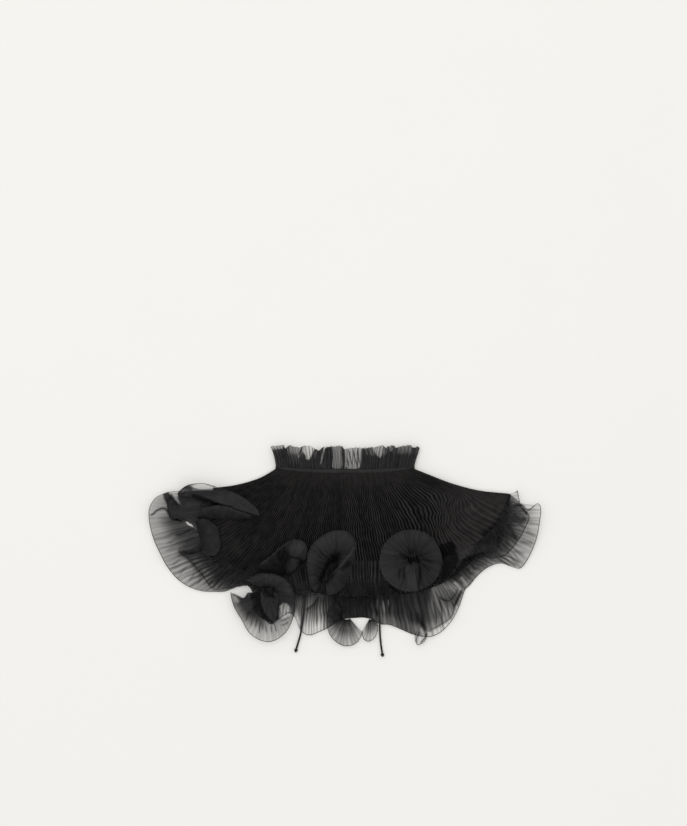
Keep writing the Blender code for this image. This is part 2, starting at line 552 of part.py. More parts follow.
def neck_frill(material):
    """The frill that stands on the neckband, one pleated strip round the neck."""
    count = 2 * FRILL_PLEATS
    back = CLOTH / 2 + FRILL_RELIEF
    stations = 3
    grid = []
    for number, (x, z) in enumerate(neck_loop(NECK_HALF, back, FRONT_LEVEL, count)):
        foot = band_top(x) + SEAM
        top = FRILL_TOP + 0.8 * math.sin(0.8 * number)
        rib = []
        for part in np.linspace(0.0, 1.0, stations + 1):
            widen = 1.0 + (FRILL_FLARE - 1.0) * part ** 1.5
            rib.append(np.array([x * widen, foot + (top - foot) * part, z]))
        grid.append(rib)
    relief = FRILL_RELIEF * np.linspace(0.5, 1.0, stations + 1)
    lift = np.outer(np.where(np.arange(count + 1) % 2, -1.0, 1.0), relief)
    return wall("neck_frill", np.array(grid), CLOTH, material, lift)


def tie(name, route, material):
    """A thin cord along a smooth curve through its route."""
    marks = np.array(route)
    data = bpy.data.curves.new(name, "CURVE")
    data.dimensions = "3D"
    data.bevel_depth = TIE / 2 * MM
    data.bevel_resolution = TIE_SIDES
    data.use_fill_caps = True
    line = data.splines.new("POLY")
    places = places_along(marks, TIE_POINTS - 1)
    line.points.add(TIE_POINTS - 1)
    for point, place in zip(line.points, places):
        point.co = (*to_metres(through(marks, place)), 1.0)
    data.materials.append(material)
    piece = bpy.data.objects.new(name, data)
    bpy.context.collection.objects.link(piece)
    return piece


def knot(name, route, material):
    """The knot at the end of a tie: a small rounded bead in line with it."""
    end = np.array(route[-1])
    way = end - np.array(route[-2])
    way[2] = 0.0
    way = way / np.linalg.norm(way)
    centre = end + way * (KNOT[0] + SEAM)
    centre[2] = KNOT[1]
    mesh = bmesh.new()
    bmesh.ops.create_icosphere(mesh, subdivisions=2, radius=1.0)
    aside = np.array([-way[1], way[0], 0.0])
    for vertex in mesh.verts:
        x, y, z = vertex.co
        place = centre + way * (x * KNOT[0]) + aside * (y * KNOT[1]) + np.array([0.0, 0.0, z * KNOT[1]])
        vertex.co = to_metres(place)
    mesh.normal_update()
    return add_object(name, mesh, material)


def build():
    """Make every piece of the collar."""
    clear_scene()
    chiffon = cloth_material("chiffon", BLACK, 0.85)
    sheer = cloth_material("sheer_chiffon", BLACK, 0.8)
    satin = cloth_material("satin_band", BAND_BLACK, 0.5)
    cord = cloth_material("tie_cord", BAND_BLACK, 0.7)
    neck_frill(sheer)
    neckband(satin)
    front_hem = front_body(chiffon)
    left_hem = back_body("body_back_left", BACK_LEFT_RIBS, chiffon)
    right_hem = back_body("body_back_right", BACK_RIGHT_RIBS, chiffon)
    strip("flounce_front", FRONT_FLOUNCE, 34, 4, 0.35, sheer, front_hem)
    strip("flounce_back_left", BACK_LEFT_FLOUNCE, 24, 4, 0.0, sheer, left_hem)
    strip("flounce_back_right", BACK_RIGHT_FLOUNCE, 22, 4, 0.0, sheer, right_hem)
    strip("fold_leaf", LEAF_FOLD, 4, 5, 0.3, sheer)
    strip("fold_lower_leaf", LOWER_LEAF_FOLD, 4, 3, 0.2, sheer)
    strip("fold_crescent", CRESCENT_FOLD, 5, 4, 0.2, sheer)
    for name, (rim, throat, slot, rise) in FLUTES.items():
        reach = sum(row[1] for row in rim) / len(rim)
        sweep = abs(rim[-1][0] - rim[0][0])
        pleats = max(3, round(math.radians(sweep) * reach / 14.0))
        stations = 5 if reach > 30.0 else 4
        flute(name, rim, throat, slot, rise, pleats, stations, 0.4, sheer)
    tie("tie_left", LEFT_TIE, cord)
    tie("tie_right", RIGHT_TIE, cord)
    knot("knot_left", LEFT_TIE, cord)
    knot("knot_right", RIGHT_TIE, cord)


build()
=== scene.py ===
"""Looks of the pleated chiffon collar: sheer pleated cloth, rolled hems, a neckband and two tied cords.

Every table is in millimetres, as in the part's source: x to the right of the collar as it lies, y towards
the neck, z up from the surface that it lies on.
"""

import math

import bpy
import numpy as np
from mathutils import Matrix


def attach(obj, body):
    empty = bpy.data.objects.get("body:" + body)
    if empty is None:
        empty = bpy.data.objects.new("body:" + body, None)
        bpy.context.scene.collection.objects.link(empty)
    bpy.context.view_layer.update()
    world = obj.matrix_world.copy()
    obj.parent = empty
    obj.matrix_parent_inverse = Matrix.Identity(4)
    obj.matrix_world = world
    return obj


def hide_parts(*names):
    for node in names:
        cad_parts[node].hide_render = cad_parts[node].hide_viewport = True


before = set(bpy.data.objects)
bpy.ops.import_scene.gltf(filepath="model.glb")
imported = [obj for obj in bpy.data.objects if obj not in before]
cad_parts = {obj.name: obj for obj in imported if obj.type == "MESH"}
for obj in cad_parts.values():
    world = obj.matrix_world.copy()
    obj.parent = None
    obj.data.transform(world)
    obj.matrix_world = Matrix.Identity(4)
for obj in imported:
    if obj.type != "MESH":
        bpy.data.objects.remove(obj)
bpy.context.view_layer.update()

MM = 0.001
MIDDLE = (-0.1, -0.8)         # middle of the collar's outline in the tables' own x and y

# View
PIXEL = 1.2                   # millimetres of the surface in one pixel of the photo
PICTURE = (687, 826)
PICTURE_MIDDLE = (-1.8, 157.8)
CAMERA_HEIGHT = 1.2
SURFACE_HALF = 3.0            # half the side of the surface, in metres
ROOM_LIGHT = 0.84             # light from all round
LAMP_SIZE = (2.5, 2.0)        # the large light, in metres and watts, with its turns in degrees
LAMP_POWER = 36.0
LAMP_PLACE = (-0.6, 1.2, 4.0)
LAMP_TURN = (-16.0, -8.5, 0.0)
LAYERS = 64                   # sheer surfaces that light may pass
BOUNCES = 16

# The weave of the chiffon
THREAD = 0.3                  # from one thread to the next
THREAD_HEIGHT = 0.00008       # in metres
THREAD_POWERS = (0.75, 1.2)   # how the gaps of the cloth open between threads and close on them
BAND_A_MM = 0.314             # scale of a wave texture whose bands are a millimetre apart
SHEEN_TINT = (0.86, 0.84, 0.9, 1.0)

# Each chiffon's colour at its deepest painted shade and at its strongest painted highlight, its roughness,
# gloss and sheen
CHIFFONS = {
    "plisse_chiffon": ((0.0015, 0.0015, 0.0015), (0.054, 0.050, 0.0485), 0.72, 0.06, 0.01),
    "sheer_chiffon": ((0.0015, 0.0015, 0.0015), (0.053, 0.050, 0.052), 0.7, 0.08, 0.01),
    "band_chiffon": ((0.006, 0.006, 0.006), (0.060, 0.057, 0.056), 0.5, 0.12, 0.02),
}

# Cloth
SEAM = 0.3                    # gap between pieces that are sewn together
SEAM_REACH = 4.0              # a flounce rib that starts this near a hem is sewn to it
BACK_LEVEL = 0.6              # middle of the back, which lies on the surface
FRONT_LEVEL = 6.3             # middle of the front, above the ties
HEM_ROLL = 0.42               # radius of the rolled hem
HEM_COVER = 0.85              # how much of the light it keeps back
ROLL_TURNS = (45, 90, 135, 180, 225, 270, 315)  # degrees round the roll at its rows of points
ROLL_STEP = 0.785             # way round the roll from one row of points to the next, in its radii
BRIGHTEST = 1.6               # the strongest painted highlight on the cloth, where 1 is the painted light of a common lit fold
PER_PLEAT = 8                 # columns of mesh in one pleat
STATIONS = 34                 # steps of mesh from the root of a flounce or flute to its edge
TURNED_IN = 3                 # columns of a sheet's turned-in side edge
TURNED_IN_COVER = 0.75
UNEVEN = 0.45                 # how unevenly wide the pleats of a flounce are
WAVER = 0.13                  # how far its creases waver, in pleats
BODY_SWAY = 0.8               # how far the pleats of the front body waver
BODY_STATIONS = 46
BODY_LIFT = (0.25, 0.8)       # height of its pleats at the neck and at the hem
BACK_STATIONS = 24
BACK_PLEAT = 4.0              # width of a pleat of the back
BACK_LIFT = (0.15, 0.4)

# Neck
NECK_HALF = 83.0              # half the flat width of the neck
BAND_FOOT = 85.5              # lower edge of the neckband at the centre front
BAND_FOOT_RISE = 6.0          # how far that edge rises at the sides
BAND_TOP = 91.0               # upper edge of the neckband at the centre front
BAND_TOP_RISE = 2.5
BAND_CLOTH = 1.4              # thickness of the folded neckband
BAND_CUT = 0.0125             # width of the neckband's strip in metres, with its turned-in edges
BAND_RIBS = 300               # steps of mesh along the neckband
BAND_SIDES = 20               # and round it
BAND_PUFF = 0.12              # how unevenly thick it is
# Base of the neckband's painted shading
BAND_TONE = 0.36
BAND_COVER = 0.98
TUCK = 0.9                    # how far the frill and the body reach into the folded band
FRILL_FLARE = 1.07            # widening of the frill from its seam to its free edge
FRILL_PLEAT = 3.2             # width of a pleat of the frill
FRILL_LEAN = 1.6              # how far its pleats lean to a side
FRILL_CLOSE = 0.9             # share of the cloth's closeness where its pleats spread
FRILL_STATIONS = 24
FRILL_RAGGED = 1.9            # how unevenly far its pleats reach
FRILL_LIFT = (0.4, 0.72)      # height of its pleats at the seam and at the free edge
FRILL_HEM = 0.25              # radius of its rolled hem
# Base of the frill's painted shading
FRILL_TONE = 0.62
FRILL_LEVELS = (1.25, 6.3)    # middle of the frill's back and front
BACK_GAP = 0.8                # half the gap of the centre back opening

# Front body: x, y of each rib at the neck, three stations between, and the hem, and its height
FRONT_RIBS = (
    (-83, 91, -97, 82.5, -112, 76, -133, 71, -158, 68, 2.4),
    (-75, 89.2, -92, 74, -112, 62, -137, 50, -163, 38, 6.1),
    (-66, 88, -82, 66, -100, 48, -125, 27, -157, 6, 6.3),
    (-55, 86.9, -67, 60, -82, 36, -104, 8, -133, -26, 6.3),
    (-38, 86, -45, 58, -55, 28, -67, -2, -84, -36, 6.3),
    (-18, 85.4, -20, 58, -24, 30, -30, 3, -38, -25, 6.3), (2, 85.2, 3, 58, 5, 30, 7, 5, 9, -20, 6.3),
    (22, 85.5, 25, 58, 30, 31, 36, 5, 42, -20, 6.3), (41, 86.1, 50, 60, 63, 34, 75, 7, 84, -20, 6.3),
    (56, 87, 76, 66, 97, 45, 106, 15, 118, -15, 6.3), (66, 88.1, 96, 72, 119, 57, 126, 22, 150, -2, 6.3),
    (75, 89.3, 104, 77, 134, 62, 146, 35, 176, 18, 6.3),
    (80, 90.3, 108, 79, 140, 66.5, 166, 52, 189, 40, 6),
    (83, 91, 103, 83, 128, 73.5, 160, 65, 197, 61, 2.4),
)

# Width of a pleat of the front body at its hem, by x
BODY_PLEATS = ((-160, 4.6), (-120, 3.6), (-80, 3.2), (0, 3.4), (84, 3.6), (118, 5), (197, 7))

# Back body, left and right of the opening: x, y at the neck, between, and at the hem
BACK_LEFT_RIBS = (
    (-83, 91, -103, 74, -158, 67), (-72, 88.6, -112, 60, -176, 40), (-58, 87, -100, 42, -166, -8),
    (-44, 86.2, -74, 30, -135, -36), (-28, 85.6, -44, 20, -80, -46), (-14, 85.3, -18, 15, -30, -59),
    (-0.8, 85.2, 8, 15, 19.6, -62),
)
BACK_RIGHT_RIBS = (
    (0.8, 85.2, 7.6, 15, 18, -62), (16, 85.3, 26, 15, 52, -60), (32, 85.8, 54, 20, 92, -55),
    (48, 86.5, 82, 32, 128, -40), (62, 87.6, 104, 45, 160, -13), (74, 89, 116, 60, 190, 21),
    (83, 91, 116, 68, 199, 60),
)

# Front flounce: x, y, z of each rib at its seam, its middle and its free edge
FRONT_FLOUNCE = (
    (-158.5, 65, 3.2, -182, 66, 8, -208, 61, 6), (-163, 50, 5.9, -186, 51, 7.5, -213, 47, 4.5),
    (-163.6, 38, 6.1, -184, 37, 9.5, -208, 33, 4.5), (-163, 29, 6.3, -176, 30, 9, -192.5, 29, 6),
    (-161, 18, 6.3, -171, 19, 9, -182, 20.5, 6.5), (-158, 7, 6.3, -173, 6, 8.5, -192, 2, 5.5),
    (-153.5, -3, 6.3, -175, -4, 7, -200, -8, 4), (-148, -11, 6.3, -167, -16, 7, -187, -19, 3.6),
    (-141.5, -19, 6.3, -157, -28, 7, -172, -36, 3.6), (-133.3, -26.5, 6.3, -146, -39, 7, -158, -53, 3.6),
    (-121, -31.5, 6.3, -130, -42, 7, -139, -52, 4.5), (-105, -35.2, 6.3, -110, -43, 7.5, -114, -49, 6),
    (-84, -36.5, 6.3, -87, -46, 7.8, -89, -54, 7), (-68, -34.4, 6.3, -68, -47, 7.8, -66, -58, 7),
    (-52, -29.6, 6.3, -50, -47, 7.8, -48, -62, 7), (-38, -25.5, 6.3, -36, -44, 7.8, -33, -60, 6.5),
    (-15, -21.6, 6.3, -14, -42, 7.8, -11, -62, 6.5), (9, -20.5, 6.3, 10, -42, 7.8, 12, -63, 6.5),
    (36, -20.5, 6.3, 36, -42, 7.8, 36, -62, 6.5), (60, -20.5, 6.3, 59, -40, 7.8, 58, -59, 7),
    (84, -20.5, 6.3, 84, -40, 7.8, 84, -58, 7), (104, -18.4, 6.3, 108, -34, 8, 111, -49, 7.5),
    (118, -15.5, 6.3, 123, -28, 11, 128, -38, 9), (134, -9.3, 6.3, 138, -15, 11, 142, -20, 8),
    (150, -2.5, 6.3, 155, -8, 8, 160, -15, 6), (164, 7.2, 6.3, 171, -3, 7.5, 178, -16, 5),
    (176.2, 17.6, 6.3, 185, 3, 7.5, 193, -12, 4), (183.8, 28.4, 6.2, 195, 16, 7.5, 207, 4, 5),
    (189.4, 39.8, 6, 203, 29, 8, 216, 20, 6), (192.8, 48, 5.4, 207, 41, 8.5, 221, 34, 7),
    (195.4, 55, 4.2, 204, 52, 8, 211, 47, 7), (197.3, 60.7, 3.2, 202, 61, 6, 207, 65, 9),
)

# Back flounce, left and right of the opening, in the same columns
BACK_LEFT_FLOUNCE = (
    (-184, 60, 0.5, -190, 62, 0.5, -198, 64, 0.5), (-188, 54, 0.5, -199, 60, 1, -213, 62.5, 3),
    (-191, 47, 0.5, -208, 53, 1, -227, 56, 6), (-192, 40, 0.5, -212, 43, 1, -234.5, 44, 8),
    (-193, 33, 0.5, -214, 32, 1, -235, 30, 6), (-189.5, 24.5, 0.5, -213, 20, 0.6, -232, 15, 3),
    (-179.5, 18.5, 0.5, -207, 8, 0.6, -228, 3, 3), (-172.4, 5, 0.5, -200, -2, 0.6, -222, -10, 5),
    (-166.2, -9, 0.5, -192, -17, 0.6, -214, -25, 3), (-159.8, -19, 0.5, -182, -30, 0.6, -202, -40, 1.5),
    (-151, -28, 0.5, -170, -40, 0.6, -188, -50, 2.5), (-141, -34.2, 0.5, -157, -46, 0.6, -172, -55.5, 1.5),
    (-129, -38, 0.5, -144, -48, 0.6, -157, -56.5, 1), (-118, -40.2, 0.5, -131, -48, 0.6, -143, -56, 1.5),
    (-106, -42.2, 0.5, -117, -47, 0.6, -128, -50, 1), (-96, -43.9, 0.5, -106, -48, 0.6, -114, -51.5, 0.6),
    (-88, -45.3, 0.5, -96, -66, 0.6, -102, -80, 1), (-80, -46.5, 0.5, -86, -72, 0.6, -90, -95, 1.5),
    (-72, -48.9, 0.5, -76, -70, 0.6, -80, -90, 1), (-64, -51.3, 0.5, -66, -68, 0.6, -68, -82, 0.6),
    (-56, -53.5, 0.5, -58, -72, 0.6, -60, -87, 0.8), (-48, -55.6, 0.5, -51, -80, 0.6, -53, -103, 1.5),
    (-40, -57.6, 0.5, -42, -82, 0.6, -43, -108.5, 3), (-31, -59.4, 0.5, -31, -82, 0.6, -31, -104.5, 2),
    (-21, -60.3, 0.5, -20, -80, 0.6, -19, -99, 0.6), (-8, -61.4, 0.5, -6, -76, 0.6, -4, -90, 0.6),
    (5, -62.3, 0.5, 6, -75, 0.6, 7, -88, 0.6), (19.6, -62.5, 0.9, 21.4, -75, 1, 22.8, -87, 1),
)
BACK_RIGHT_FLOUNCE = (
    (18, -62.5, 0.5, 19.6, -75, 0.6, 20.8, -87, 0.6), (29, -62.4, 0.5, 30, -76, 0.6, 31, -89, 0.6),
    (38, -61.8, 0.5, 40, -78, 0.6, 42, -95, 1), (48, -60.9, 0.5, 50, -78, 0.6, 53, -96, 2.5),
    (59, -59.8, 0.5, 62, -80, 0.6, 66, -101, 1), (70, -58.9, 0.5, 75, -83, 0.6, 80, -107, 1),
    (81, -57.6, 0.5, 86, -84, 0.6, 92, -110, 2.5), (92, -55.5, 0.5, 98, -83, 0.6, 104, -110, 3.5),
    (101, -53, 0.5, 109, -79, 0.6, 116, -104, 2.5), (110, -49.9, 0.5, 119, -70, 0.6, 128, -91, 4),
    (119, -45.8, 0.5, 128, -60, 0.6, 137, -74, 2.5), (128, -40.6, 0.5, 136, -48, 0.6, 143.5, -55, 1.5),
    (136, -35.2, 0.5, 143, -42, 0.6, 150, -48, 1), (145, -27.8, 0.5, 152, -33, 0.6, 158, -38, 1.5),
    (154, -19.4, 0.5, 162, -24, 0.6, 170, -28, 2.5), (163, -10.2, 0.5, 174, -17, 0.6, 186, -22.5, 1.5),
    (171, -0.8, 0.5, 188, -16, 0.6, 203, -27.5, 1), (178, 6.6, 0.5, 196, -9, 0.6, 212, -27, 2),
    (184, 13.4, 0.5, 204, 1, 0.6, 222, -12, 4), (190.4, 21, 0.5, 211, 15, 0.6, 230, 8, 6),
    (194.6, 31, 0.5, 215, 31, 0.8, 234, 30, 8), (197.4, 41, 0.5, 217, 43, 1, 235, 43, 9),
    (198.8, 48, 0.5, 216, 49, 1, 231, 49, 8), (199.4, 54, 0.5, 209, 49, 0.6, 219, 41, 2),
    (199.8, 59, 0.5, 204, 56, 0.5, 208, 52, 0.5),
)

# Folds of the front flounce that lie back on the body, in the same columns
LEAF_FOLD = (
    (-104, 41, 9, -122, 62, 13, -156, 69.5, 10), (-103.5, 39, 9, -130, 61, 15, -173, 73, 13),
    (-103, 37.5, 9, -138, 57, 16, -190, 70.5, 15), (-102.5, 36, 9, -142, 51, 16, -200.5, 60, 14),
    (-102, 34, 9, -136, 44, 14, -185, 59, 11),
)
LOWER_LEAF_FOLD = (
    (-178, 31, 9.2, -174, 38, 12, -170, 43, 11), (-163, 31, 9.2, -159, 40, 13, -156, 46.5, 12),
    (-148, 30, 9.2, -144, 39, 13, -142, 45.5, 11.5), (-132, 30, 9.2, -130, 36, 12, -129, 40.5, 11),
    (-114, 30.5, 9.2, -113, 33, 11, -112, 35, 10.5),
)
CRESCENT_FOLD = (
    (-179, 27.5, 10, -171, 34, 15, -162, 28, 9.1), (-177, 18, 9.7, -164, 28, 19, -153.5, 20, 8.8),
    (-174, 8, 9.5, -161, 12, 21, -150.5, 8, 8.8), (-172, -2, 8.9, -161, -4, 19, -150.5, -5, 8.8),
    (-173, -10, 8.7, -163, -15, 14, -155, -13, 8.7),
)

# Flutes: rim rows of angle in degrees, reach from the throat, height of the rim and of the bell
RUFFLE_RIM = (
    (158, 37, 12, 12), (140, 33, 14, 13), (122, 32, 15, 14), (103, 36, 16, 15), (86, 44, 17, 17),
    (74, 48.5, 17, 20), (62, 49, 16, 20), (52, 43, 14, 16), (44, 33, 12, 12),
)
LILY_RIM = (
    (179, 45, 6, 10), (200, 44, 6, 10), (225, 45, 6.5, 11), (248, 54, 7, 12), (270, 58.5, 7.5, 13),
    (290, 53, 9, 14), (312, 43, 12, 16), (336, 35, 15, 20), (360, 30, 17.5, 23), (392, 26.5, 19, 25),
    (424, 23.5, 20, 26), (456, 23.5, 20, 26), (484, 26, 19, 25), (510, 31, 17, 22),
)
SLOT_RIM = (
    (236, 32, 10, 12), (198, 27, 15, 18), (160, 29, 18, 22), (126, 36, 20, 24), (101, 41.5, 21, 25),
    (80, 47.5, 21, 25), (62, 49, 20, 25), (47, 44, 17, 27), (34, 36, 12, 30), (10, 26, 9.6, 31),
    (-30, 23.5, 9.6, 29), (-66, 27.5, 9.6, 25), (-96, 31, 9.4, 18),
)
ROUND_RIM = (
    (-104, 38, 10.5, 10.5), (-60, 37, 13, 13), (-20, 34.5, 16, 18), (25, 33, 19, 22), (70, 33.5, 21, 24),
    (115, 35.5, 22, 25), (160, 39, 22, 25), (200, 41, 21, 25), (240, 40.5, 20, 24), (279, 38.5, 19, 22),
)
LEFT_LOBE_RIM = (
    (128, 19, 5, 9), (158, 22, 6, 10), (184, 23.5, 7, 11), (212, 27, 7, 11), (240, 32.5, 6, 10),
    (268, 36.5, 4, 8), (290, 34.5, 4, 8), (312, 27.5, 4, 7),
)
RIGHT_LOBE_RIM = (
    (240, 20, 3, 6), (252, 28, 4, 7), (266, 30, 5, 8), (282, 25, 5, 8), (298, 17, 4, 7), (312, 10, 3, 6),
)
TAIL_RIM = (
    (281, 20, 5, 5), (272, 27, 5, 6), (258, 33, 5.5, 7), (249, 29, 5, 7), (241, 21, 4, 5),
)

# Flutes: rim, x y z of the throat, its half length, half width and tilt, its rise in one turn
FLUTES = {
    "flute_ruffle": (RUFFLE_RIM, (-72, -41, 8.3), (5, 5, 0), 0),
    "flute_lily": (LILY_RIM, (-92, -58, 8.2), (7, 6, 0), 0),
    "flute_slot": (SLOT_RIM, (-18, -30, 8.75), (17, 4, 62), 0),
    "flute_round": (ROUND_RIM, (82, -17, 8), (4, 4, 0), 4),
    "flute_left_lobe": (LEFT_LOBE_RIM, (2, -85, 2), (6, 5, 0), 0),
    "flute_right_lobe": (RIGHT_LOBE_RIM, (31, -86, 2), (4, 4, 0), 0),
    "flute_tail": (TAIL_RIM, (95, -88, 3.2), (3, 3, 0), 0),
}
THROAT_GROWTH = 4.0           # widening of a coiled throat in one turn
BELL = 0.3                    # where on the way to the rim a flute's bell is
FLUTE_RELIEF = 0.4            # height of a flute's pleats at the rim
FLUTE_CREASE = 0.35           # how far the shortest crease of a flute reaches

# Ties: the route of each cord from the centre back of the neck, between the layers, to its knot
TIE = 2.4                     # diameter of a tie
LEFT_TIE = (
    (-4, 82, 2.9), (-8, 60, 2.9), (-14, 38, 2.9), (-22, 16, 2.9), (-31, -6, 2.9),
    (-39, -28, 2.9), (-45, -48, 2.9), (-48, -66, 2.9), (-50, -84, 3.3),
    (-51.6, -97, 4.2), (-53.5, -108, 3.4), (-56, -117, 1.7), (-58.2, -124.6, 1.25),
)
RIGHT_TIE = (
    (4, 82, 2.9), (9, 60, 2.9), (15, 38, 2.9), (21, 16, 2.9), (27, -6, 2.9),
    (33, -28, 2.9), (37, -48, 2.9), (40, -66, 2.9), (41.5, -84, 3.2),
    (41.6, -97, 3.4), (42, -108, 2.2), (43, -119, 1.35), (44.6, -130, 1.25),
)
KNOT = (2.6, 1.9)             # half length and half width of a knot

# Free edge of the neck frill: x, y
FRILL_EDGE = (
    (-92, 116), (-89, 117.5), (-80, 118.5), (-74, 119.5), (-72.5, 114.5), (-67, 118.5), (-60, 117),
    (-54, 116.5), (-48, 119), (-41, 118), (-36, 114.5), (-31, 112.5), (-27, 117), (-23, 115.5),
    (-18, 117.5), (-10, 118), (-4, 118), (-1, 114.5), (6, 115.5), (14, 116.5), (20, 115), (28, 116),
    (36, 117), (46, 119), (49, 115.5), (56, 119.5), (61, 116), (70, 118), (79, 119.5), (81, 116.5),
    (87, 117), (92, 116),
)

# How close the frill's cloth is, by x: at its foot, at its middle and at its free edge
FRILL_COVER = (
    (-92, 0.88, 0.86, 0.8), (-76, 0.96, 0.93, 0.85), (-73, 0.99, 0.99, 0.97), (-70, 0.97, 0.9, 0.7),
    (-66, 0.95, 0.75, 0.38), (-58, 0.93, 0.65, 0.3), (-54, 0.95, 0.8, 0.45), (-38, 0.95, 0.9, 0.6),
    (-34, 0.97, 0.95, 0.85), (0, 0.98, 0.96, 0.9), (20, 0.98, 0.95, 0.88), (30, 0.98, 0.95, 0.7),
    (36, 0.97, 0.9, 0.4), (46, 0.97, 0.9, 0.45), (49, 0.97, 0.95, 0.88), (62, 0.96, 0.93, 0.7),
    (66, 0.95, 0.85, 0.42), (79, 0.95, 0.85, 0.45), (81, 0.96, 0.92, 0.85), (92, 0.9, 0.88, 0.65),
)
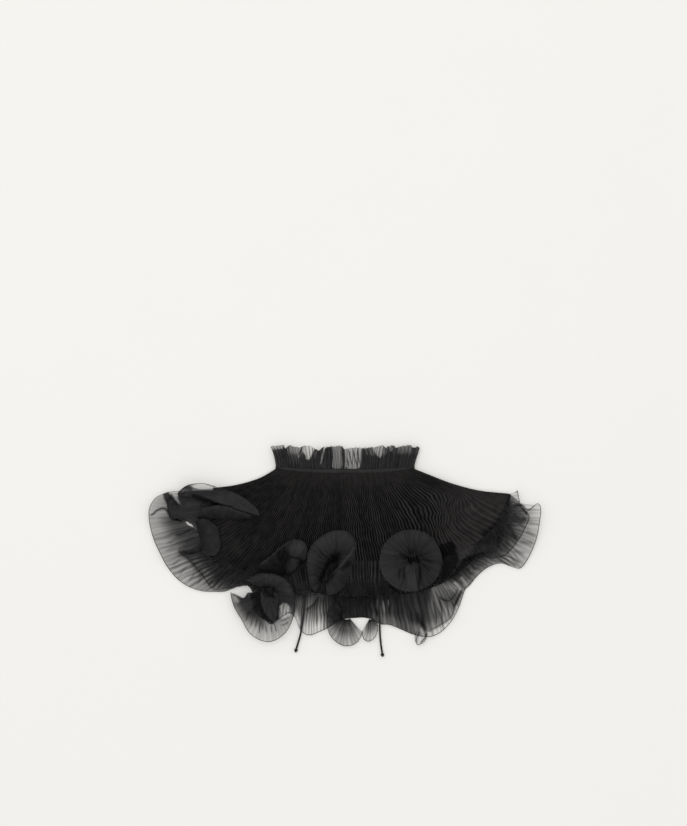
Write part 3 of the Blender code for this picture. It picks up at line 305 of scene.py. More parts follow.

# How close each sheet is and its painted light and shade, by rib: cover at root, middle and edge, then
# painted shading at root, middle and edge
SHADES = {
    "flounce_front": (
        (0, 0.98, 0.97, 0.97, 0.5, 0.6, 0.6), (1, 1, 0.99, 0.98, 0.5, 0.65, 0.62),
        (2, 1, 1, 0.98, 0.45, 0.65, 0.62), (3, 1, 1, 0.97, 0.4, 0.65, 0.6), (4, 1, 1, 0.9, 0.3, 0.6, 0.6),
        (5, 1, 0.99, 0.6, 0.2, 0.5, 0.6), (6, 0.99, 0.88, 0.48, 0.2, 0.4, 0.4),
        (7, 0.98, 0.72, 0.3, 0.2, 0.4, 0.4), (9, 0.98, 0.72, 0.28, 0.2, 0.4, 0.4),
        (10, 0.99, 0.8, 0.42, 0.2, 0.4, 0.4), (11, 1, 0.95, 0.6, 0.15, 0.3, 0.35),
        (13, 1, 1, 0.8, 0.15, 0.3, 0.45), (14, 1, 1, 0.5, 0.15, 0.4, 0.5), (15, 1, 1, 0.4, 0.15, 0.4, 0.5),
        (16, 1, 1, 0.5, 0.13, 0.25, 0.35), (18, 1, 1, 0.5, 0.13, 0.2, 0.3),
        (20, 1, 1, 0.3, 0.13, 0.2, 0.35), (21, 1, 0.98, 0.5, 0.2, 0.3, 0.4),
        (22, 1, 0.98, 0.85, 0.3, 0.4, 0.4), (24, 1, 0.92, 0.7, 0.3, 0.4, 0.4),
        (26, 0.98, 0.72, 0.48, 0.25, 0.4, 0.4), (28, 0.93, 0.62, 0.44, 0.25, 0.4, 0.4),
        (31, 0.85, 0.55, 0.3, 0.2, 0.4, 0.4),
    ),
    "flounce_back_left": (
        (0, 0.6, 0.45, 0.42, 0.4, 0.4, 0.4), (3, 0.6, 0.42, 0.36, 0.4, 0.4, 0.4),
        (6, 0.65, 0.52, 0.44, 0.4, 0.4, 0.4), (8, 0.65, 0.5, 0.44, 0.4, 0.4, 0.4),
        (10, 0.7, 0.52, 0.42, 0.3, 0.4, 0.4), (12, 0.8, 0.66, 0.52, 0.3, 0.4, 0.4),
        (13, 0.9, 0.8, 0.66, 0.3, 0.3, 0.4), (15, 0.95, 0.9, 0.85, 0.2, 0.3, 0.35),
        (17, 0.97, 0.9, 0.8, 0.2, 0.3, 0.35), (19, 0.97, 0.8, 0.5, 0.2, 0.35, 0.4),
        (21, 0.84, 0.62, 0.3, 0.45, 0.45, 0.45), (23, 0.86, 0.62, 0.3, 0.45, 0.45, 0.45),
        (24, 0.92, 0.8, 0.45, 0.35, 0.4, 0.4), (25, 1, 0.98, 0.92, 0.1, 0.2, 0.25),
        (27, 1, 0.99, 0.97, 0.1, 0.2, 0.25),
    ),
    "flounce_back_right": (
        (0, 1, 0.99, 0.97, 0.1, 0.2, 0.25), (1, 1, 0.94, 0.85, 0.1, 0.2, 0.25),
        (2, 1, 0.82, 0.66, 0.25, 0.35, 0.4), (4, 1, 0.9, 0.74, 0.25, 0.35, 0.4),
        (5, 1, 0.88, 0.72, 0.25, 0.35, 0.4), (6, 0.99, 0.76, 0.5, 0.25, 0.4, 0.4),
        (7, 0.95, 0.4, 0.24, 0.25, 0.45, 0.45), (9, 0.9, 0.36, 0.2, 0.25, 0.45, 0.45),
        (10, 0.92, 0.7, 0.5, 0.2, 0.4, 0.4), (12, 0.92, 0.8, 0.66, 0.25, 0.35, 0.4),
        (14, 0.9, 0.76, 0.64, 0.25, 0.35, 0.4), (15, 0.9, 0.72, 0.6, 0.2, 0.35, 0.4),
        (16, 0.85, 0.5, 0.42, 0.3, 0.4, 0.4), (19, 0.7, 0.44, 0.38, 0.4, 0.4, 0.4),
        (21, 0.65, 0.4, 0.25, 0.4, 0.4, 0.4), (24, 0.45, 0.35, 0.3, 0.4, 0.4, 0.4),
    ),
    "fold_leaf": (
        (0, 1, 0.97, 0.5, 0.65, 0.75, 0.6), (1, 1, 0.97, 0.45, 0.65, 0.75, 0.6),
        (2, 1, 0.98, 0.7, 0.65, 0.75, 0.6), (4, 1, 0.99, 0.9, 0.6, 0.7, 0.6),
    ),
    "fold_lower_leaf": (
        (0, 1, 1, 1, 0.2, 0.4, 0.65), (4, 1, 1, 1, 0.15, 0.25, 0.6),
    ),
    "fold_crescent": (
        (0, 1, 1, 1, 0.25, 0.5, 0.62), (4, 1, 1, 1, 0.25, 0.5, 0.62),
    ),
    # Flutes: mostly painted shade deep in their throats and painted light towards their rims
    "flute_ruffle": (
        (0, 1, 1, 1, 0.02, 0.05, 0.15), (4, 1, 1, 1, 0.02, 0.05, 0.2), (5, 1, 1, 1, 0.1, 0.45, 0.6),
        (8, 1, 1, 0.97, 0.1, 0.4, 0.5),
    ),
    "flute_lily": (
        (0, 0.95, 0.6, 0.5, 0.05, 0.3, 0.4), (1, 0.95, 0.6, 0.52, 0.05, 0.3, 0.4),
        (2, 0.95, 0.6, 0.5, 0.05, 0.3, 0.45), (3, 0.9, 0.42, 0.34, 0.05, 0.4, 0.5),
        (4, 0.9, 0.42, 0.34, 0.05, 0.4, 0.5), (5, 0.92, 0.55, 0.42, 0.1, 0.4, 0.5),
        (6, 0.95, 0.7, 0.58, 0.1, 0.4, 0.45), (7, 1, 0.97, 0.92, 0.2, 0.45, 0.6),
        (8, 1, 1, 0.99, 0.05, 0.5, 0.68), (11, 1, 1, 0.99, 0.05, 0.55, 0.68),
        (13, 1, 1, 0.99, 0.02, 0.35, 0.58),
    ),
    "flute_slot": (
        (0, 1, 1, 1, 0.02, 0.2, 0.5), (3, 1, 1, 1, 0.02, 0.45, 0.62), (6, 1, 1, 1, 0.02, 0.45, 0.6),
        (8, 1, 1, 1, 0.05, 0.35, 0.55), (10, 1, 1, 1, 0.2, 0.5, 0.5), (12, 1, 1, 1, 0.2, 0.45, 0.5),
    ),
    "flute_round": (
        (0, 1, 1, 1, 0.42, 0.45, 0.6), (3, 1, 1, 1, 0.32, 0.38, 0.5), (5, 1, 1, 1, 0.36, 0.52, 0.66),
        (9, 1, 1, 1, 0.42, 0.45, 0.62),
    ),
    "flute_left_lobe": (
        (0, 1, 0.99, 0.97, 0.1, 0.2, 0.3), (2, 1, 0.97, 0.88, 0.1, 0.3, 0.45),
        (3, 1, 0.92, 0.66, 0.1, 0.3, 0.45), (4, 1, 0.84, 0.52, 0.1, 0.4, 0.45),
        (5, 1, 0.76, 0.46, 0.1, 0.4, 0.45), (7, 1, 0.76, 0.46, 0.1, 0.4, 0.45),
    ),
    "flute_right_lobe": (
        (0, 1, 0.72, 0.38, 0.1, 0.4, 0.45), (3, 1, 0.72, 0.38, 0.1, 0.4, 0.45),
        (5, 1, 0.92, 0.8, 0.1, 0.3, 0.45),
    ),
    "flute_tail": (
        (0, 0.05, 0.1, 0.18, 0.3, 0.4, 0.4), (4, 0.05, 0.1, 0.18, 0.3, 0.4, 0.4),
    ),
}

# How light the painted highlight on the rolled hem of a flute is, where it stands out from the dark cloth
# behind it
HEM_HIGHLIGHTS = {"flute_ruffle": 0.9, "flute_slot": 0.9, "flute_round": 1}

# How strongly the creases of a sheet show, by rib: as closer cloth, painted shade in the creases and painted
# highlights on the ridges
CREASES = {
    "flounce_front": (
        (0, 0.15), (4, 0.15), (6, 0.25), (7, 0.6), (9, 0.8), (13, 0.6), (20, 0.8), (24, 0.4), (31, 0.3),
    ),
    "flounce_back_left": ((0, 0.2), (5, 0.25), (8, 0.45), (14, 0.6), (20, 0.8), (27, 0.8)),
    "flounce_back_right": ((0, 0.8), (5, 0.8), (7, 0.5), (10, 0.5), (14, 0.5), (19, 0.3), (24, 0.4)),
    "fold_leaf": ((0, 0.05), (4, 0.05)),
    "fold_lower_leaf": ((0, 0.1), (4, 0.1)),
    "fold_crescent": ((0, 0.1), (4, 0.1)),
    "flute_ruffle": ((0, 0.6), (4, 0.5), (5, 0.1), (8, 0.1)),
    "flute_lily": ((0, 0.25), (2, 0.35), (6, 0.35), (7, 0.15), (13, 0.08)),
    "flute_slot": ((0, 0.5), (3, 0.7), (6, 0.7), (8, 0.3), (9, 0.05), (12, 0.05)),
    "flute_round": ((0, 0.3), (3, 0.45), (9, 0.3)),
    "flute_left_lobe": ((0, 0.3), (2, 0.5), (3, 0.9), (7, 0.9)),
    "flute_right_lobe": ((0, 0.9), (5, 0.9)),
    "flute_tail": ((0, 0.6), (4, 0.6)),
}

# How wide the pleats of a flute are at its rim
FLUTE_PLEATS = {
    "flute_slot": 7.5, "flute_round": 7.5, "flute_lily": 6, "flute_left_lobe": 5.5, "flute_right_lobe": 4.5,
    "flute_ruffle": 5, "flute_tail": 5,
}

# How wide the pleats of the back flounce's left side are, by rib
BACK_LEFT_PLEATS = ((0, 6), (18, 6), (20, 4), (27, 4))

# How wide the pleats of the front flounce are, by rib
FRONT_FLOUNCE_PLEATS = ((0, 5.6), (12, 5.6), (14, 3.7), (21, 3.7), (23, 5.6), (31, 5.6))

# Ribs of the front flounce between which it carries on the pleats of the body, as painted highlights on their
# ridges and painted shade in their creases
CARRIED_RIBS = (13, 22)

# How close the rolled hem of the front flounce is, by rib: it is lost in the folds at the left and the centre
FRONT_HEM_COVER = (
    (0, 0.85), (3.2, 0.85), (3.8, 0.1), (6.2, 0.1), (7, 0.85), (12, 0.85), (14, 0.2), (21, 0.2), (22, 0.85),
    (31, 0.85),
)

# Patches of folds that lie on a sheet and of painted shadow, shade and light on it: how soft a patch's edge
# is, how close the cloth in it is, how light its painted shading is, and x, y of each point round it
PATCHES = {
    "neck_frill": (
        (1.5, 0.2, 0.5, (-95, 121, -73.5, 122, -74.5, 115.5, -84, 114, -92, 113.5)),
        (1, 0.06, 0.5, (-50, 120, -38.5, 120, -36.5, 115.5, -39.5, 109, -42, 103, -46.5, 102, -47.5, 107,
            -51, 112)),
        (0.8, 0.2, 0.5, (-55, 117, -52.5, 117, -54.5, 106, -56.5, 105)),
        (0.8, 0.15, 0.5, (-30, 97, -28.4, 97, -24, 116, -26, 116)),
        (1, 0.3, 0.5, (-15.5, 118, -5.5, 118, -4.2, 112, -4, 92, -15, 92, -14.5, 105)),
        (1, 0.18, 0.5, (0.4, 116.5, 18.5, 116.5, 20, 110, 17.2, 92, 1.8, 91.5, 1.2, 103)),
        (1.5, 0.2, 0.5, (31, 118, 46, 118, 46, 110, 41.5, 104, 37, 109.5)),
        (1, 0.3, 0.5, (53, 118.5, 57, 119, 57.5, 113, 54, 112)),
    ),
    # Painted shadow right of the round flute, and a painted lighter fold beside it
    "body_front": (
        (2, 1, 0.02, (114, -1, 125, 3.5, 131.7, 1, 134, -8, 133, -14, 120, -18, 116, -14)),
        (2, 1, 0.6, (133.5, 1, 142, 4, 152, 0, 150, -5, 138, -9, 135, -7)),
    ),
    # Painted shadows along the body's right edge and right of the round flute, painted light on folds and the
    # lily's far wall
    "flounce_front": (
        (1.2, 0.12, 0.4, (-212.5, 67, -199.5, 67, -200.3, 56, -196, 46.5, -204, 54)),
        (2.5, 0.15, 0.45, (-186, 24, -180, 19, -175, 12.4, -174, 2.5, -181, -4.4, -200, -6.5, -215, 0,
            -200, 20)),
        (1.2, 1, 0.62, (-102, -50, -101, -62, -80, -66, -79, -52, -90, -49)),
        (4, 1, 0.2, (195, 38, 184, 27, 171, 14, 158, 4, 170, -1, 187, 2, 190, 15, 192.5, 28)),
        (3, 0.82, 0.55, (198, 28, 206, 22, 212, 12, 205, 5, 198, 12, 196, 22)),
        (3, 0.9, 0.45, (202, 42, 211, 37, 217, 30, 210, 24, 202, 31)),
        (1.8, 0.28, 0.5, (199, 62, 204, 63, 208, 54, 213, 44, 208, 45, 202, 47, 198.5, 53)),
        (2, 1, 0.02, (114.3, -1.2, 125.2, 3.2, 131.7, 0.3, 133.9, -8.5, 135.4, -20, 131, -29, 121, -40.5,
            116.4, -42, 118, -29, 117.2, -14.3)),
        (2.5, 0.97, 0.62, (133, 1, 142, 3, 152, -1, 153, -7, 145, -14, 139, -20, 136.5, -14, 135, -6)),
    ),
    "flounce_back_left": (
        (1.2, 0.94, 0.55, (-218.5, 60.5, -213, 63, -207, 56, -202, 49, -202, 36, -207, 33.5, -210.5, 43,
            -214.8, 52)),
        (1.2, 0.2, 0.45, (-211.5, 66, -199.5, 67, -200.3, 56, -196, 46.5, -204, 54)),
        (22, 0.8, 0.45, (-217, 32, -196, 33, -186, 26, -175, 17, -168, 4, -174, -9, -192, -10, -202, 2,
            -210, 14)),
        (2, 1, 0.62, (-104, -50, -101, -68, -84, -70, -79, -52, -90, -47)),
        (2, 0.15, 0.45, (-79, -74, -73, -70, -67.5, -74, -67.5, -85, -73, -88)),
    ),
    "flounce_back_right": (
        (1.2, 0.02, 0.4, (209, 55, 214, 47.5, 219.5, 42.5, 226, 46.5, 230.5, 51, 225, 57)),
        (14, 0.6, 0.5, (100, -48, 130, -46, 134, -60, 120, -72, 112, -88, 100, -90)),
        (14, 0.94, 0.45, (64, -52, 100, -50, 101, -74, 98, -94, 90, -97, 76, -82)),
    ),
    # The curl's close cloth, and a painted black shadow under the leaf's lower edge
    "fold_leaf": (
        (1.2, 0.12, 0.5, (-184, 69.5, -179, 72, -170, 73, -160, 70.5, -158.5, 67.8, -166, 66.6,
            -176, 66.8)),
        (1.5, 0.96, 0.7, (-202, 58, -199.5, 64.5, -193, 70, -187, 72, -184, 69.5, -184, 64, -190, 57,
            -197, 53)),
        (1.2, 1, 0.02, (-184, 61.5, -176, 59, -166, 56, -158, 52.5, -157, 49.5, -166, 50, -176, 52.5,
            -183, 56)),
    ),
    # Painted shade deep inside the bell, and painted light on its far wall
    "flute_lily": (
        (16, 0.93, 0.15, (-134, -60, -112, -56, -98, -94, -110, -92, -126, -80)),
        (2.5, 1, 0, (-115, -57, -112, -68, -109.5, -78, -105, -85, -98, -90, -90, -92.5, -83, -91,
            -79, -87, -80.5, -78, -80, -63, -90, -52, -104, -51)),
        (1.2, 1, 0.62, (-101.4, -53, -100, -70.4, -94.8, -83.5, -89, -90, -83.5, -91, -81, -75,
            -80.3, -62, -88, -54)),
        (1.2, 0.28, 0.5, (-79.5, -73, -73, -69.5, -67, -73, -65, -84, -71, -88.5, -79.5, -87)),
        (1.2, 0.02, 0.5, (-139, -55, -137, -58.4, -129, -61.6, -122.5, -64.5, -119, -62, -116.5, -57,
            -117, -50, -125, -50)),
    ),
    # Painted shade in the throat, and a painted lighter lobe below it
    "flute_round": (
        (1.5, 1, 0, (78.5, -18, 83, -14.5, 88, -16, 90.5, -21, 87.5, -23, 83.5, -20)),
        (1.6, 1, 0.76, (73, -26, 80, -22.5, 87, -26, 88, -38, 86, -50, 78, -53, 74, -40)),
    ),
}

# Edge of the lily flute's inner wall, drawn as a line of painted shade on each sheet that shows in its throat
LILY_FOLD = ((1.4, 0, -0.6), (-97.8, -51.4, -94.8, -56.9, -87.4, -61.8, -81.1, -65.5))

# Strokes that turned edges and folds draw on a sheet, and strokes of painted shadow, shade and highlight: the
# width of a brush, how much closer it makes the cloth, how much lighter its painted shading (less than 0 for
# painted shade), and for a turned edge how much closer the cloth is to its left and how far.
# Then x, y of each point that a stroke runs through, for each stroke of that brush
STROKES = {
    "neck_frill": (
        ((0.5, 0.6, -0.2), (4, 115, 9, 93), (9, 115.5, 14.5, 93), (14, 115, 18, 95), (2.5, 105, 5, 92)),
        ((0.6, 0.8, -0.3), (-51.5, 118, -56, 105)),
        ((0.7, -0.5, 0.3), (-25.5, 93, -24.5, 99)),
        ((0.6, -0.5, 0.3), (48, 108, 52, 117), (24, 117, 27, 108), (28.5, 117, 32, 107),
         (-34, 112, -36.5, 103)),
    ),
    # Painted shadows in the flutes' throats, along the right edge and under the leaf, and painted light
    # beside them
    "body_front": (
        ((1.6, 0, -0.4), (-162, 51, -146, 47.5, -131, 44)),
        ((6, 0, -0.6), (196, 40, 184, 24, 166, 7)),
        ((3, 0, -0.2), (116, 2, 120, -10)),
        ((3, 0, -0.9), (80, -18, 87, -18)),
        ((3, 0, 0.4), (78, -12, 86, -12)),
        ((5, 0, -0.9), (-17, -26, -12, -16)),
        ((12, 0, 0.13), (-148, 32, -140, 8, -128, -12)),
        ((6, 0, 0.1), (-112, 12, -96, -4)),
    ),
    # Painted shadows in the flutes' throats and right of the round flute, and painted light beside them
    "flounce_front": (
        LILY_FOLD,
        ((0.7, -0.35, 0.3), (-209.5, 45, -205.5, 35)),
        ((0.7, -0.25, 0.3), (-207, 47, -203.5, 38)),
        ((1.2, 0, -0.5), (-214, 60, -208, 54.5, -201.5, 47.5, -197, 43)),
        ((3.4, 0.5, -0.5), (-181, 59, -170, 54.5, -160, 51)),
        ((1, 0.8, -0.3), (-204, 12, -196.5, 12.5, -188.8, 15.5, -181.2, 19.3)),
        ((1, 0, 0.3), (-192, -4, -184, -5, -177, -3.5)),
        ((2.4, 0.6, -0.2), (-198, -8, -186, -10, -176, -8)),
        ((1.6, 0.6, -0.3), (-176, -2, -170, -13)),
        ((0.9, 0.6, -0.3), (-152, -10, -166, -18, -184, -24), (-149, -17, -163, -26, -178, -31),
         (-144, -23, -157, -33, -171, -40), (-138, -28, -150, -40, -163, -48)),
        ((3.2, 0.5, -0.5), (-51, -24, -50.5, -34, -48, -46)),
        ((7, 0.6, -0.3), (121, 2, 127, -12, 126, -28, 116, -42)),
        ((5, 0.3, 0.25), (138, -2, 143, -12)),
        ((1.8, 0.6, -0.4), (136, -22, 148, -16, 171, -9)),
        ((2, 0.85, -0.3), (200, 46, 208, 47.5, 214.5, 42, 221, 34)),
        ((1.6, 0.8, -0.3), (194, 26, 200, 16, 207, 4)),
        ((1, 0.6, -0.3), (197, 16, 202, 10, 207, 3), (191, 6, 199, -4)),
        ((2.5, -0.4, 0.2), (203, 40, 212, 34)),
        ((2.2, -0.4, 0.2), (190, 10, 188, -2)),
        ((1, 0.6, -0.3), (184, 12, 183, -6)),
        ((6, 0.9, -0.9), (82, -18, 82, -22)),
        ((5, 0.9, -0.9), (-20, -34, -14, -24)),
        ((5, -0.5, 0.25), (205, 20, 210, 12)),
    ),
    "flounce_back_left": (
        ((1.2, 0.92, -0.3), (-236, 34.5, -231, 36.2, -225.6, 40.8, -219.4, 43.4, -214.8, 42.3, -211, 36,
             -207, 30.5, -196, 30)),
        LILY_FOLD,
        ((2, 0.9, -0.3), (-206, 30.5, -200, 30, -194, 27)),
        ((1, 0.85, -0.2), (-218.5, 59, -214, 51, -211, 43, -207.5, 31)),
        ((1.2, 0.7, -0.2), (-206, 11.5, -196.5, 12.5, -188, 16, -182, 19)),
        ((4, 0.4, 0), (-202, -9, -190, -14, -180, -26, -168, -42)),
        ((1.1, 0.35, 0), (-204, 4, -216, 1), (-202, -3, -216, -8)),
        ((1.3, 0.35, 0), (-196, -16, -209, -26)),
        ((1.1, 0.35, 0), (-188, -24, -200, -37)),
        ((1.3, 0.35, 0), (-179, -33, -189, -46)),
        ((1.1, 0.35, 0), (-172, -38, -178, -50)),
        ((4.5, -0.75, 0.2), (-74, -84, -70, -75)),
        ((1, 0.7, -0.2, 0.4, 14), (-30, -60, -34, -66, -39.3, -73, -48.5, -79.5)),
        ((2, -0.5, 0.1), (-58, -84, -55, -98)),
    ),
    "flounce_back_right": (
        ((0.9, 0.7, -0.2, 0.35, 40), (97, -105, 106, -101.5, 113.5, -97.4, 127.3, -87.1, 131.9, -74.5,
             138.8, -57.2)),
        ((2.6, 0.85, -0.1), (86, -80, 90, -92, 96, -100, 97, -106)),
        ((1.4, 0.85, -0.2), (141.2, -52.2, 135.4, -65.3, 129.6, -75.5)),
        ((0.8, 0.6, -0.2), (137, -50, 131, -62, 125, -68)),
        ((0.7, 0.7, -0.2), (106, -66, 109, -84, 110, -98), (113, -64, 116, -80, 117, -97),
         (118, -62, 123, -74, 124, -90), (124, -60, 129, -69, 130, -80)),
        ((0.9, 0.6, -0.2), (183.6, -14, 196, -19, 207, -27), (181, -17, 192, -22, 201, -28),
         (188, -12, 200, -16, 212, -23)),
        ((2.5, 0.35, 0), (219, 15, 227, 11), (213, 3, 223, 2)),
        ((1.6, 0.3, 0), (222, 26, 232, 24)),
        ((2, 0.3, 0), (204, -8, 214, -10)),
        ((1, 0.8, -0.2), (112, -60, 117, -66, 128, -68)),
        ((0.7, -0.45, 0.2), (38, -64, 41, -78), (42, -72, 43.5, -92)),
        ((0.7, -0.4, 0.2), (45.5, -66, 48, -84), (51, -64, 53, -76)),
        ((1.6, -0.4, 0.1), (140, -40, 146, -47), (132, -46, 138, -54)),
    ),
    # The leaf's curl: a painted dark outline, painted highlights inside it, and a painted shadow under its
    # edge
    "fold_leaf": (
        ((1.3, 0.9, -0.6), (-201, 56, -199.5, 61, -195, 67.3, -187, 70.4)),
        ((1, 0, -0.5), (-188, 68, -180, 66.5, -170, 65.6, -158, 66)),
        ((0.9, -0.12, 0.8), (-197.5, 58, -196.5, 62, -193, 65.5, -188.5, 67)),
        ((0.8, -0.08, 0.6), (-192.5, 62, -189.5, 64, -186, 64.5)),
        ((1, 0, -0.6), (-195, 60.5, -191, 63, -186, 64.5)),
        ((0.9, 0, -0.7), (-158, 51, -146, 47.5, -131, 44.4)),
    ),
    # Flutes: painted highlights along their rims, painted shade in their throats and under their lobes
    "flute_ruffle": (
        ((1.8, 0, 0.6), (-103.6, -25.3, -92.6, -17, -79.7, -5.1, -74.2, -0.5, -65.9, 5)),
        ((7, 0, 0.3), (-62, -2, -52, -6)),
        ((3.6, 0, -0.6), (-79, -12, -70, -13)),
        ((1.2, 0, -0.6), (-68, -13.5, -62, -15.5, -55.8, -17, -48.5, -21.6)),
        ((6, 0, 0.2), (-65, -24, -64, -36)),
        ((2.6, 0, -0.6), (-53, -21, -54, -30)),
    ),
    "flute_lily": (
        LILY_FOLD,
        ((0.8, 0.75, -0.3), (-102, -95, -102.8, -105), (-95.5, -95, -94.1, -108), (-89, -95, -87.6, -108),
         (-84.6, -95, -82.4, -104), (-111.6, -88, -113.2, -100)),
        ((0.8, 0.6, -0.2), (-98.8, -96, -98.8, -102), (-106, -91, -107.5, -99), (-116, -82, -119, -91)),
        ((0.8, 0, 0.3), (-101.2, -54, -99.9, -66, -97.5, -77.6, -93.5, -86)),
        ((0.6, -0.7, 0.3), (-76.5, -85, -75, -73), (-73, -86, -72, -74), (-69.5, -84, -69.5, -75)),
        ((0.6, 0.6, -0.3), (-75, -87, -73.5, -71), (-71, -87, -70.5, -72)),
        ((1, 0.7, -0.2), (-80, -92.5, -72, -90, -65, -85), (-79, -97.5, -72, -95.5, -66, -91)),
        ((0.9, 0.95, -0.2), (-137.5, -58, -129, -61.8, -122.5, -64.8, -118.6, -62.2, -116, -56)),
        ((2, -0.5, 0), (-132, -64, -129, -68)),
    ),
    "flute_slot": (
        ((1.1, 0, 0.6), (-27, -46, -17, -36.5, -7, -27, 3, -16, 7.9, -9, 11, 1)),
        ((4.5, 0, -0.6), (-29, -47, -21, -34, -12, -18)),
        ((3, 0, -0.35), (-2, -29, 4, -22)),
    ),
    "flute_round": (
        ((1.6, 0, -0.5), (89, -22, 90, -36, 89, -52)),
        ((1.2, 0, -0.4), (66, -26, 64.5, -44), (71, -26, 70, -44)),
        ((1.4, 0, -0.35), (74, -16, 66, -12)),
        ((1.2, 0, -0.35), (78, -10, 75, -2), (93, -24, 101, -31), (94, -17, 104, -20)),
        ((0.7, 0, 0.5), (42, -14, 43.5, -30, 52, -45, 68, -54, 80, -55)),
    ),
    "flute_tail": (
        ((1, 0.9, -0.2), (98, -104, 96.8, -110.5, 92.5, -116, 88, -119.8)),
        ((0.9, 0.85, -0.2), (91, -103, 87.2, -109, 85.6, -115, 87.5, -119.5)),
    ),
}
LONG_STROKE = 12.0            # a stroke longer than this fades at its ends
TAPER = 5.0


def through(rows, place):
    """The row at a place between the rows, counted from 0, on a smooth curve through them."""
    last = len(rows) - 1
    start = min(int(place), last - 1)
    part = place - start
    here, there = rows[start], rows[start + 1]
    before = rows[start - 1] if start else 2 * here - there
    after = rows[start + 2] if start + 2 <= last else 2 * there - here
    return 0.5 * (
        2 * here
        + (there - before) * part
        + (2 * before - 5 * here + 4 * there - after) * part ** 2
        + (3 * here - before - 3 * there + after) * part ** 3
    )


def summed(steps):
    """How far some steps have come before each of them and after the last."""
    return np.concatenate([[0.0], np.cumsum(steps)])


def run_of(line):
    """How far along a line of points each of them is."""
    return summed(np.linalg.norm(np.diff(line, axis=0), axis=1))


def unit(ways):
    """Directions with a length of 1."""
    return ways / np.maximum(np.linalg.norm(ways, axis=-1, keepdims=True), 1e-9)


def looked_up(places, table):
    """Values at places, between the rows of a table of place and value."""
    return np.interp(places, *np.array(table).T)


def run_along(marks):
    """Places on the curve through the marks, and the length of the curve up to each."""
    fine = np.linspace(0.0, len(marks) - 1.0, 60 * (len(marks) - 1) + 1)
    return fine, run_of(np.array([through(marks, place) for place in fine]))


def places_along(marks, count):
    """Places of count + 1 ribs evenly along the curve through the marks."""
    fine, run = run_along(marks)
    return np.interp(np.linspace(0.0, run[-1], count + 1), run, fine)


def uneven(count, salt):
    """Shares of the way at the columns of some unevenly wide pleats."""
    widths = 1.0 + UNEVEN * (2.0 * scatter(np.arange(count), salt) - 1.0)
    edges = summed(widths) / widths.sum()
    return np.interp(np.arange(count * PER_PLEAT + 1) / PER_PLEAT, np.arange(count + 1), edges)


def creased(marks, pleat, salt, stations, reach=0.75):
    """Unevenly wide pleats along the curve through the marks, and the places of their columns on it."""
    fine, run = run_along(marks)
    turns = summed(np.diff(run) / looked_up(fine, pleat)[1:])
    count = max(4, round(turns[-1]))
    return Pleats(count, salt, stations, reach), np.interp(uneven(count, salt) * turns[-1], turns, fine)


def wavered(grid, pleats):
    """A sheet whose creases waver to the sides between the seam and the free edge."""
    step = np.arange(pleats.columns)[:, None] / PER_PLEAT
    sway = np.sin(7.0 * pleats.parts + 0.9 * step) + 0.6 * np.sin(13.0 * pleats.parts - 0.5 * step + 1.0)
    sway = WAVER * PER_PLEAT * sway * np.sin(math.pi * pleats.parts)
    return grid + np.gradient(grid, axis=0) * (sway * faded(pleats.columns))[..., None]


def arch(root, bell, edge, part):
    """Points on the curve from root to edge that bends towards bell."""
    return (1 - part) ** 2 * root + 2 * part * (1 - part) * bell + part ** 2 * edge


def ease(value):
    """0 to 1 with a soft start and end, for values from 0 to 1 and held outside them."""
    value = np.clip(value, 0.0, 1.0)
    return value * value * (3.0 - 2.0 * value)


def scatter(numbers, salt):
    """A fixed uneven value from 0 to 1 for each whole number."""
    value = np.sin(np.asarray(numbers) * 12.9898 + salt * 78.233) * 43758.5453
    return value - np.floor(value)


def normals(grid):
    """Unit normals of a grid of points, counted across and then down."""
    across = np.gradient(grid, axis=0)
    down = np.gradient(grid, axis=1)
    return unit(np.cross(down, across))


def raised(grid, lift):
    """A sheet raised from its middle."""
    return grid + normals(grid) * lift[..., None]


class Pleats:
    """Pleats side by side: the shape across them, and how far each crease shows from root to edge."""

    def __init__(self, count, salt, stations, reach=0.75):
        step = np.arange(count * PER_PLEAT + 1)[:, None] / PER_PLEAT
        nearest = np.round(step)
        away = np.abs(step - nearest)
        self.columns = len(step)
        self.parts = np.linspace(0.0, 1.0, stations + 1)
        self.height = np.sin(0.5 * math.pi * (4.0 * away - 1.0))
        self.crease = np.exp(-((away / (0.1 + 0.12 * scatter(nearest, salt + 4.0))) ** 2))
        self.ridge = np.exp(-(((0.5 - away) / 0.16) ** 2))
        self.own = scatter(nearest, salt)
        self.start = 0.12 * scatter(nearest, salt + 1.0)
        self.stop = reach + 0.55 * scatter(nearest, salt + 2.0)
        self.deep = 0.7 + 0.3 * scatter(np.floor(step), salt + 3.0)

    def lines(self, low):
        """How dark the crease is at each point, from 0 to 1; it closes the cloth and is drawn as painted
        shade.
        """
        shown = ease((self.parts - self.start) / 0.1) * ease((self.stop - self.parts) / 0.25)
        spread = self.crease ** (0.4 + 0.6 * self.parts)
        return spread * (low + (1.0 - low) * self.own) * shown

    def ridges(self):
        """How much of a ridge each point is, from 0 to 1."""
        return np.repeat(self.ridge * self.deep, len(self.parts), axis=1)

    def lift(self, root, edge):
        """Height of the cloth above its middle, for the heights of a pleat at the root and at the edge."""
        return self.height * self.deep * (root + (edge - root) * self.parts)


def faded(columns, ends=PER_PLEAT):
    """1 over the sheet, falling to 0 over its first and last columns."""
    count = np.arange(columns)[:, None]
    return ease(np.minimum(count, columns - 1 - count) / ends)


def rolled(grid, radius):
    """Points of a hem rolled up along the last row of a grid."""
    way = unit(grid[:, -1] - grid[:, -2])
    normal = normals(grid)[:, -1]
    normal = normal * np.where(normal[:, 2:] < 0.0, -1.0, 1.0)
    turns = np.radians(ROLL_TURNS)
    centre = grid[:, -1] + radius * normal
    return np.stack([centre + radius * (math.sin(a) * way - math.cos(a) * normal) for a in turns], axis=1)


def place(grid):
    """A grid of the tables' points in metres from the collar's own origin."""
    return (np.asarray(grid) - np.array([MIDDLE[0], MIDDLE[1], 0.0])) * MM


def placed(name, data):
    """An object of the scene."""
    made = bpy.data.objects.new(name, data)
    bpy.context.scene.collection.objects.link(made)
    return made


